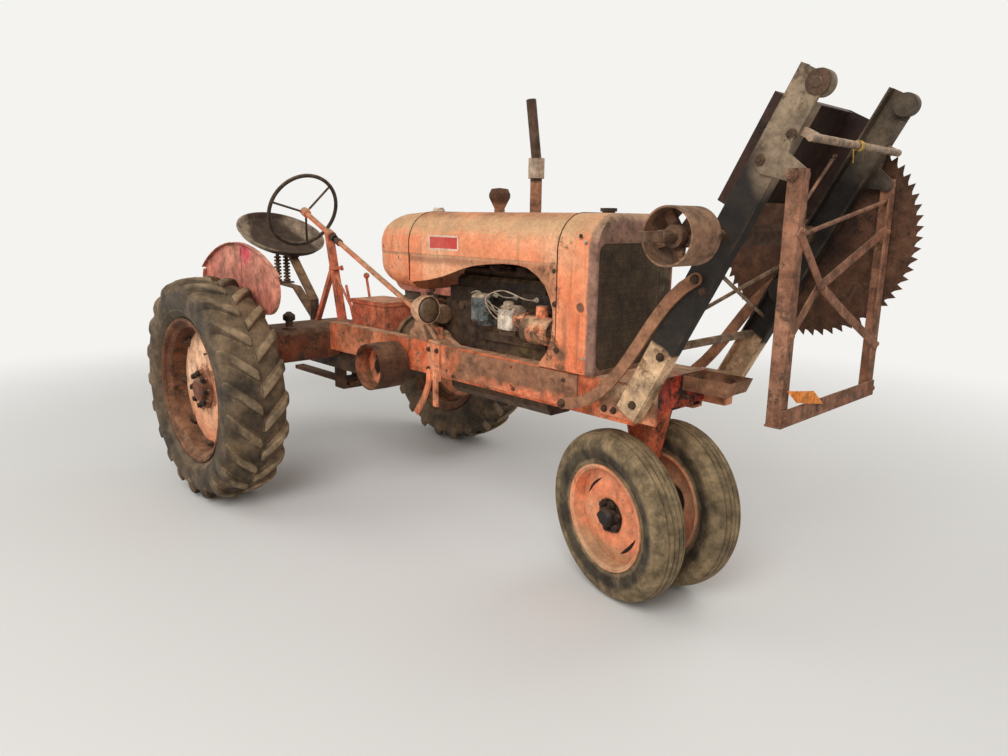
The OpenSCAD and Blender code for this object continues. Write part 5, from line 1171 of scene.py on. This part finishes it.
def makeEngineFittings():
    shapes, ports = [], []
    for x in plugX:
        base = fromAxle(x, plugFace - 0.004, plugZ)
        shapes.append(turnedPoints(base, right, mm((0, 0), (11.5, 0), (11.5, 7), (7, 9), (6.5, 18), (4.5, 20),
                (4.5, 24), (0, 24)), 16))
        low, high = fromAxle(x - 0.024, plugFace - 0.004, plugZ - 0.024), fromAxle(x + 0.024, plugFace, plugZ + 0.022)
        ports.append(blockPoints(low, high, 0.0015))
        for dx, dz in ((-0.021, -0.021), (0.021, -0.021), (-0.021, 0.019), (0.021, 0.019)):
            ports.append(turnedPoints(fromAxle(x + dx, plugFace - 0.004, plugZ + dz), right,
                    mm((0, -1), (2.8, -1), (2.8, 1.5), (0, 2.5)), 8))
    meshPiece("sparkPlugs", tractor, "porcelain", "bare", *joined(*shapes))
    meshPiece("plugPorts", tractor, "blackGrease", "black", *joined(*ports))

    # four leads from the magneto's cap, up behind it and along the head to the plugs
    for index, x in enumerate(plugX):
        start = fromAxle(1.540, *leadStarts[index])
        end = fromAxle(x, plugFace - 0.0275, plugZ)
        first, middles, last = leadRoutes[index]
        corners = [start, start + Vector(first)] + [fromAxle(*middle) for middle in middles] + [end + Vector(last),
                end]
        path = smoothPath(corners, 28)
        points, faces = sweptPoints(path, leadRadius, 10)
        lead = meshPiece("plugLead%d" % (index + 1), tractor, "plugWire", "bare", points, faces)

    breather = mm((0, -2), (20, -2), (20, 14), (36, 18), (38, 24), (38, 44), (34, 50), (0, 54))
    meshPiece("breatherCap", tractor, "darkIron", "grease", *joined(
        *[turnedPoints(fromAxle(x, 0, engineBits["cover"]), above, breather, 32) for x in engineBits["breathers"]],
        sweptPoints([fromAxle(engineBits["ridgeRear"] + 0.05 * k, 0, engineBits["cover"] + 0.002) for k in range(11)],
                engineBits["ridge"], 24)))

    # starter beside the bell housing, with its nose, bands and end cap
    nose = fromAxle(*engineBits["starter"])
    drum = mm((0, 0), (30, 0), (32, 3), (32, 36), (44, 40), (47, 44), (47, 98), (45.5, 100), (45.5, 106), (47, 108),
            (47, 134), (45.5, 136), (45.5, 142), (47, 144), (47, 182), (42, 188), (16, 191), (14, 198), (0, 199))
    flange = blockPoints(fromAxle(0.957, -0.188, 1.024), fromAxle(0.969, -0.040, 1.086), 0.003)
    leg = blockPoints(fromAxle(0.957, -0.085, 0.972), fromAxle(0.969, -0.040, 1.026), 0.003)
    meshPiece("starter", tractor, "starterIron", "grease", *joined(turnedPoints(nose, ahead, drum, 40), flange, leg))

    # upright plate that carries the lower shaft's collar
    plate = blockPoints(fromAxle(1.078, -0.167, 0.924), fromAxle(1.122, -0.159, 0.992), 0.002)
    nut = turnedPoints(fromAxle(1.098, -0.166, 0.976), right, mm((0, 0), (9, 0), (9, 6), (0, 7)), 6)
    meshPiece("shaftPlate", tractor, "orangePaint", "orange", *joined(plate, nut))


# Magneto cover: a ribbed arch over the body, a coil hump and a lead cap, with holes in the radiator shell
magnetoCover = {"from": 1.553, "to": 1.642, "middle": -0.156, "half": 0.0475, "foot": 1.046, "spring": 1.100,
        "crown": 1.146}


def makeMagneto():
    cover = magnetoCover

    def arch(x0, x1, grow):
        rows = []
        for x, inward in ((x0, 0.004), (x0 + 0.003, 0.0), (x1 - 0.003, 0.0), (x1, 0.004)):
            half, top = cover["half"] + grow - inward, cover["crown"] + grow - inward
            row = [(-half, cover["foot"])]
            row += [(-half * math.cos(a), cover["spring"] + (top - cover["spring"]) * math.sin(a) ** 0.7)
                    for a in [math.pi * k / 14 for k in range(15)]]
            rows.append([fromAxle(x, cover["middle"] + y, z) for y, z in row + [(half, cover["foot"])]])
        points = [point for row in rows for point in row]
        count = len(rows[0])
        return points, [tuple(range(count)), tuple(range(3 * count, 4 * count))] + levelFaces(count, 4)

    shapes = [arch(cover["from"], cover["to"], 0.0)]
    shapes += [arch(x, x + 0.006, 0.0028) for x in (1.557, 1.596, 1.632)]
    hump = mm((0, -4), (24, -4), (24, 10), (19, 15), (7, 17), (0, 17))
    shapes.append(turnedPoints(fromAxle(1.577, cover["middle"], cover["crown"]), above, hump, 20))
    meshPiece("magnetoCover", tractor, "aluminium", "aluminium", *joined(*shapes))
    cap = mm((0, -3), (37, -3), (36, 6), (30, 11), (0, 12))
    shapes = [turnedPoints(fromAxle(1.555, cover["middle"], 1.095), -ahead, cap, 28)]
    for y, z in leadStarts:
        shapes.append(turnedPoints(fromAxle(1.548, y, z), -ahead, mm((0, 0), (6.5, 0), (5.5, 10), (0, 10.5)), 12))
    meshPiece("leadCap", tractor, "blackGrease", "black", *joined(*shapes))
    hole = mm((0, -1), (8.5, -1), (8.5, 1.2), (6.8, 1.4), (6.2, 0.4), (0, 0.4))
    meshPiece("shellHoles", tractor, "blackGrease", "black", *joined(
        *[turnedPoints(fromAxle(2.062, side * 0.250, 1.457), (0, side, 0), hole, 20) for side in (-1, 1)]))


makeEngineFittings()
makeMagneto()
print("engine fittings made")


# Small fittings that sit on the tractor's own solids
fittings = {"filler": (0.110, -0.450, 0.896), "tap": (0.985, -0.120, 1.169), "valve": 0.238, "rimClamps": 8}


def makeFittings():
    neck = fromAxle(*fittings["filler"])
    meshPiece("fillerNeck", tractor, "greasyIron", "grease", *turnedPoints(
        neck, above, mm((0, 0), (40, 0), (38, 8), (22, 14), (20, 30), (22, 50), (0, 50)), 32))
    cap = mm((0, 48), (30, 48), (34, 54), (34, 74), (30, 82), (20, 88), (12, 96), (0, 98))
    meshPiece("fillerCap", tractor, "blackGrease", "black", *turnedPoints(neck, above, cap, 32))
    bowl = fromAxle(*fittings["tap"])
    meshPiece("fuelTap", tractor, "bareSteel", "bare", *joined(
        turnedPoints(bowl, -above, mm((0, 0), (16, 0), (16, 10), (8, 14), (8, 26), (28, 28), (29, 36), (0, 36)), 28),
        turnedPoints(bowl + Vector((0, -0.006, -0.020)), right,
                mm((0, 0), (5, 0), (5, 26), (9, 28), (9, 34), (0, 35)), 16)))
    meshPiece("fuelBowl", tractor, "lampGlassDust", "bare", *turnedPoints(
        bowl, -above, mm((0, 35), (24, 35), (25, 40), (24, 68), (18, 78), (0, 80)), 28))

    # lug and strap on the steering post
    meshPiece("postLug", tractor, "redPaint", "red", *joined(
        blockPoints(fromAxle(-0.170, -0.026, 1.196), fromAxle(-0.092, 0.026, 1.214), 0.006),
        blockPoints(fromAxle(-0.100, -0.010, 1.199), fromAxle(-0.048, 0.010, 1.211), 0.004),
        turnedPoints(fromAxle(-0.058, 0, 1.194), above, mm((0, 0), (8, 0), (8, 30), (0, 31)), 16)))

    # stems of the tyre valves
    for name, body, side in rearSides:
        stem = fromAxle(fittings["valve"], side * (sizes["rearTread"] + 0.100),
                sizes["axleHeight"] + fittings["valve"])
        way = Vector((-0.35, side * 1.0, -0.35))
        meshPiece("rearValve" + name, body, "blackGrease", "black", *turnedPoints(
            stem, way, mm((0, -12), (7, -12), (6, 10), (4, 12), (4, 26), (5, 27), (5, 34), (0, 35)), 14))
    clamp = joined(blockPoints((0.296, -0.014, -0.020), (0.330, 0.0, 0.020), 0.004),
            turnedPoints((0.312, -0.014, 0.0), right, mm((0, -2), (13, -2), (13, 12), (6, 12), (6, 18), (0, 18)), 6))
    for name, body, side in rearSides:
        carrier = bpy.data.meshes.new("clamp")
        carrier.from_pydata([(x, -side * y, z) for x, y, z in clamp[0]], [], clamp[1])
        centre = fromAxle(0, side * (sizes["rearTread"] + 0.026), sizes["axleHeight"])
        mesh = grown("rimClamps" + name, ringTree, carrier,
                {"Count": fittings["rimClamps"], "Centre": tuple(centre), "Finish": materials["darkIron"]})
        finishPiece("rimClamps" + name, mesh, body, "darkIron", smooth=False)


makeFittings()
print("fittings made")


# Seam beads that follow the hood's outline, at the strap and behind the radiator shell
def hoodOutline(grow=0.0):
    half, top, corner = sizes["hoodHalf"] + grow, sizes["hoodTop"] + grow, sizes["hoodCorner"] + grow
    arcs = [(math.radians(90 * k / 10), 1) for k in range(11)] + [(math.radians(90 * (10 - k) / 10), -1)
            for k in range(11)]
    points = [(half, sizes["crease"])]
    points += [(sign * (half - corner + corner * math.cos(angle)), top - corner + corner * math.sin(angle))
            for angle, sign in arcs]
    return points + [(-half, sizes["crease"])]


def makeSeams():
    for name, x, low in (("tankSeam", sizes["strap"], 1.215), ("shellSeam", sizes["shellRear"], 0.935)):
        step = 0.003
        outline = [(sizes["hoodHalf"] - step, low)] + hoodOutline() + [(step - sizes["hoodHalf"], low)]
        path = [fromAxle(x, y, z) for y, z in outline]
        meshPiece(name, tractor, "seamGap", "black", *sweptPoints(path, 0.0026, 8))


makeSeams()


# Blank label on the hood: a thin scuffed sheet with a pale edge
label = {"at": (1.235, 1.405), "half": (0.108, 0.034), "proud": 0.0008}


def makeLabel():
    x, z = label["at"]
    halfX, halfZ = label["half"]
    face = -sizes["hoodHalf"]
    low, high = fromAxle(x - halfX, face - label["proud"], z - halfZ), fromAxle(x + halfX, face + 0.001, z + halfZ)
    points, faces = blockPoints((low.x, low.z, low.y), (high.x, high.z, high.y), 0.008)
    points = [Vector((a, c, b)) for a, b, c in points]
    meshPiece("blankLabel", tractor, "labelPrint", "hood_orange", points, faces, smooth=False)


finishes["labelPrint"] = labelRed
labelMiddle = fromAxle(label["at"][0], -sizes["hoodHalf"], label["at"][1])
insideEdge = longSpot(labelMiddle, (label["half"][0] - 0.009, label["half"][1] - 0.008), 0.0015)
zoned("labelPrint", "labelPrint", [
    (apart(insideEdge), tones((240, 214, 190), (236, 200, 172)))], ragged=0.002)
makeLabel()


# Yellow twine round the cross rod, the thin stay under it, and a blank card over the sill
twine = {"from": 0.015, "turns": 4, "wrap": 0.0142, "thick": 0.0042, "steps": 14}
stay = {"low": (2.916, -0.318, 1.516), "high": (2.903, -0.046, 1.716), "radius": 0.0048, "wire": 0.0018}


def makeTwine():
    rod, wrap, thick, steps = rodPlace + Vector((0, twine["from"], 0)), twine["wrap"], twine["thick"], twine["steps"]
    path = []
    for step in range(twine["turns"] * steps + 1):
        angle = 2 * math.pi * step / steps + math.pi / 2
        path.append(rod + Vector((math.cos(angle) * wrap, step / steps * thick * 1.06, math.sin(angle) * wrap)))
    last = path[-1]
    for dx, dy, dz in ((-0.008, 0.003, 0.0030), (-0.0165, 0.0065, 0.0010), (-0.0215, 0.010, -0.0065),
            (-0.0235, 0.0125, -0.0160), (-0.0240, 0.0145, -0.0270), (-0.0236, 0.016, -0.0390),
            (-0.0230, 0.017, -0.0510), (-0.0228, 0.0175, -0.0630)):
        path.append(last + Vector((dx, dy, dz)))
    path = [path[0]] + smoothPath(path, len(path))[1:]
    tie = meshPiece("twineTie", tractor, "twine", "bare", *sweptPoints(path, thick / 2, 8))


card = {"face": 2.9622, "thick": 0.0008, "curl": 0.006,
        "corners": ((-0.352, 1.032), (-0.155, 1.002), (-0.072, 0.946), (-0.281, 0.984))}


def makeCard():
    # a blank card pushed against the sill, bowed a little
    (y0, z0), (y1, z1), (y2, z2), (y3, z3) = card["corners"]
    points, faces, wide, tall = [], [], 13, 5
    for layer in (0, 1):
        for k in range(tall):
            for j in range(wide):
                a, b = j / (wide - 1), k / (tall - 1)
                y = (y0 + (y1 - y0) * a) * (1 - b) + (y3 + (y2 - y3) * a) * b
                z = (z0 + (z1 - z0) * a) * (1 - b) + (z3 + (z2 - z3) * a) * b
                bow = card["curl"] * (1 - a) ** 2 + 0.003 * (1 - b) * math.sin(math.pi * a)
                points.append(fromAxle(card["face"] + bow + layer * card["thick"], y, z))
    size = wide * tall
    for k in range(tall - 1):
        for j in range(wide - 1):
            a, b, c, d = k * wide + j, k * wide + j + 1, (k + 1) * wide + j + 1, (k + 1) * wide + j
            faces += [(a, b, c, d), (size + d, size + c, size + b, size + a)]
    border = list(range(wide)) + [k * wide + wide - 1 for k in range(1, tall)]
    border += [size - 1 - j for j in range(1, wide)] + [k * wide for k in range(tall - 2, 0, -1)]
    for a, b in zip(border, border[1:] + border[:1]):
        faces.append((b, a, size + a, size + b))
    meshPiece("sillCard", "carriage_body", "cardTag", "orange", points, faces)


def makeStay():
    # a thin iron stay from the right post up to the twine
    low, high = fromAxle(*stay["low"]), fromAxle(*stay["high"])
    way = (high - low).normalized()
    shapes = [sweptPoints([low, low.lerp(high, 0.5), high - way * 0.012], stay["radius"], 8)]
    for step in range(4):
        middle = high + way * (0.010 * (step - 2.2))
        turn = Vector((0, 0, 1)).cross(way).normalized() if step % 2 else way.cross(Vector((1, 0, 0))).normalized()
        angles = [2 * math.pi * k / 12 for k in range(13)]
        loop = [middle + (way * math.cos(a) * 0.0085 + turn * math.sin(a) * 0.0055) for a in angles]
        shapes.append(sweptPoints(loop, stay["wire"], 6))
    meshPiece("stayRod", "carriage_body", "ironRust", "rust", *joined(*shapes))


makeTwine()
makeStay()
makeCard()
print("seams, label, twine and card made")


# Floor and light
studio = {"floor": colour(228, 226, 222), "far": colour(244, 243, 240), "clear": 3.0, "faded": 6.5, "sky": 0.42}
# Rows: place, aim, power
lamps = {"keyLamp": ((3.5, -5.0, 5.0), (0.2, 0, 0.8), 300.0), "fillLamp": ((-4.0, -4.0, 3.5), (0, 0, 0.8), 88.0),
        "backLamp": ((1.5, 5.0, 4.5), (0, 0, 0.9), 115.0)}
lampWidth = 4.0


def raysThatSee(tree):
    # 1 for what the camera sees, directly or in gloss and glass
    path = addNode(tree, "ShaderNodeLightPath").outputs
    bounced = maths(tree, "MAXIMUM", path["Is Glossy Ray"], path["Is Transmission Ray"])
    return maths(tree, "MAXIMUM", path["Is Camera Ray"], bounced)


def makeStage():
    mesh = bpy.data.meshes.new("floor")
    sheet = bmesh.new()
    bmesh.ops.create_grid(sheet, x_segments=1, y_segments=1, size=30.0)
    sheet.to_mesh(mesh)
    sheet.free()
    floor = bpy.data.objects.new("floor", mesh)
    bpy.context.scene.collection.objects.link(floor)
    material = bpy.data.materials.new("paleFloor")
    material.use_nodes = True
    tree = material.node_tree
    shader = tree.nodes["Principled BSDF"]
    shader.inputs["Base Color"].default_value = studio["floor"]
    shader.inputs["Roughness"].default_value = 0.9
    place = addNode(tree, "ShaderNodeTexCoord").outputs["Object"]
    away = ramp(tree, vectors(tree, "LENGTH", place, answer="Value"), studio["clear"], studio["faded"])
    glow = addNode(tree, "ShaderNodeEmission", {"Color": studio["far"]}).outputs[0]
    mixed = addNode(tree, "ShaderNodeMixShader", {0: maths(tree, "MULTIPLY", away, raysThatSee(tree)),
            1: shader.outputs[0], 2: glow}).outputs[0]
    tree.links.new(mixed, tree.nodes["Material Output"].inputs["Surface"])
    mesh.materials.append(material)

    world = bpy.data.worlds.new("softSky")
    bpy.context.scene.world = world
    world.use_nodes = True
    tree = world.node_tree
    sky = tree.nodes["Background"]
    sky.inputs["Color"].default_value = studio["far"]
    strength = addNode(tree, "ShaderNodeMix", {0: raysThatSee(tree), 2: studio["sky"], 3: 1.0}).outputs[0]
    tree.links.new(strength, sky.inputs["Strength"])


def softLamp(name, place, aim, power):
    lampData = bpy.data.lights.new(name, "AREA")
    lampData.shape = "SQUARE"
    lampData.size = lampWidth
    lampData.energy = power
    holder = bpy.data.objects.new(name, lampData)
    holder.location = place
    holder.rotation_euler = (Vector(aim) - Vector(place)).to_track_quat("-Z", "Y").to_euler()
    bpy.context.scene.collection.objects.link(holder)


makeStage()
for name, values in lamps.items():
    softLamp(name, *values)
bpy.context.scene.view_settings.view_transform = "Standard"
print("stage ready")
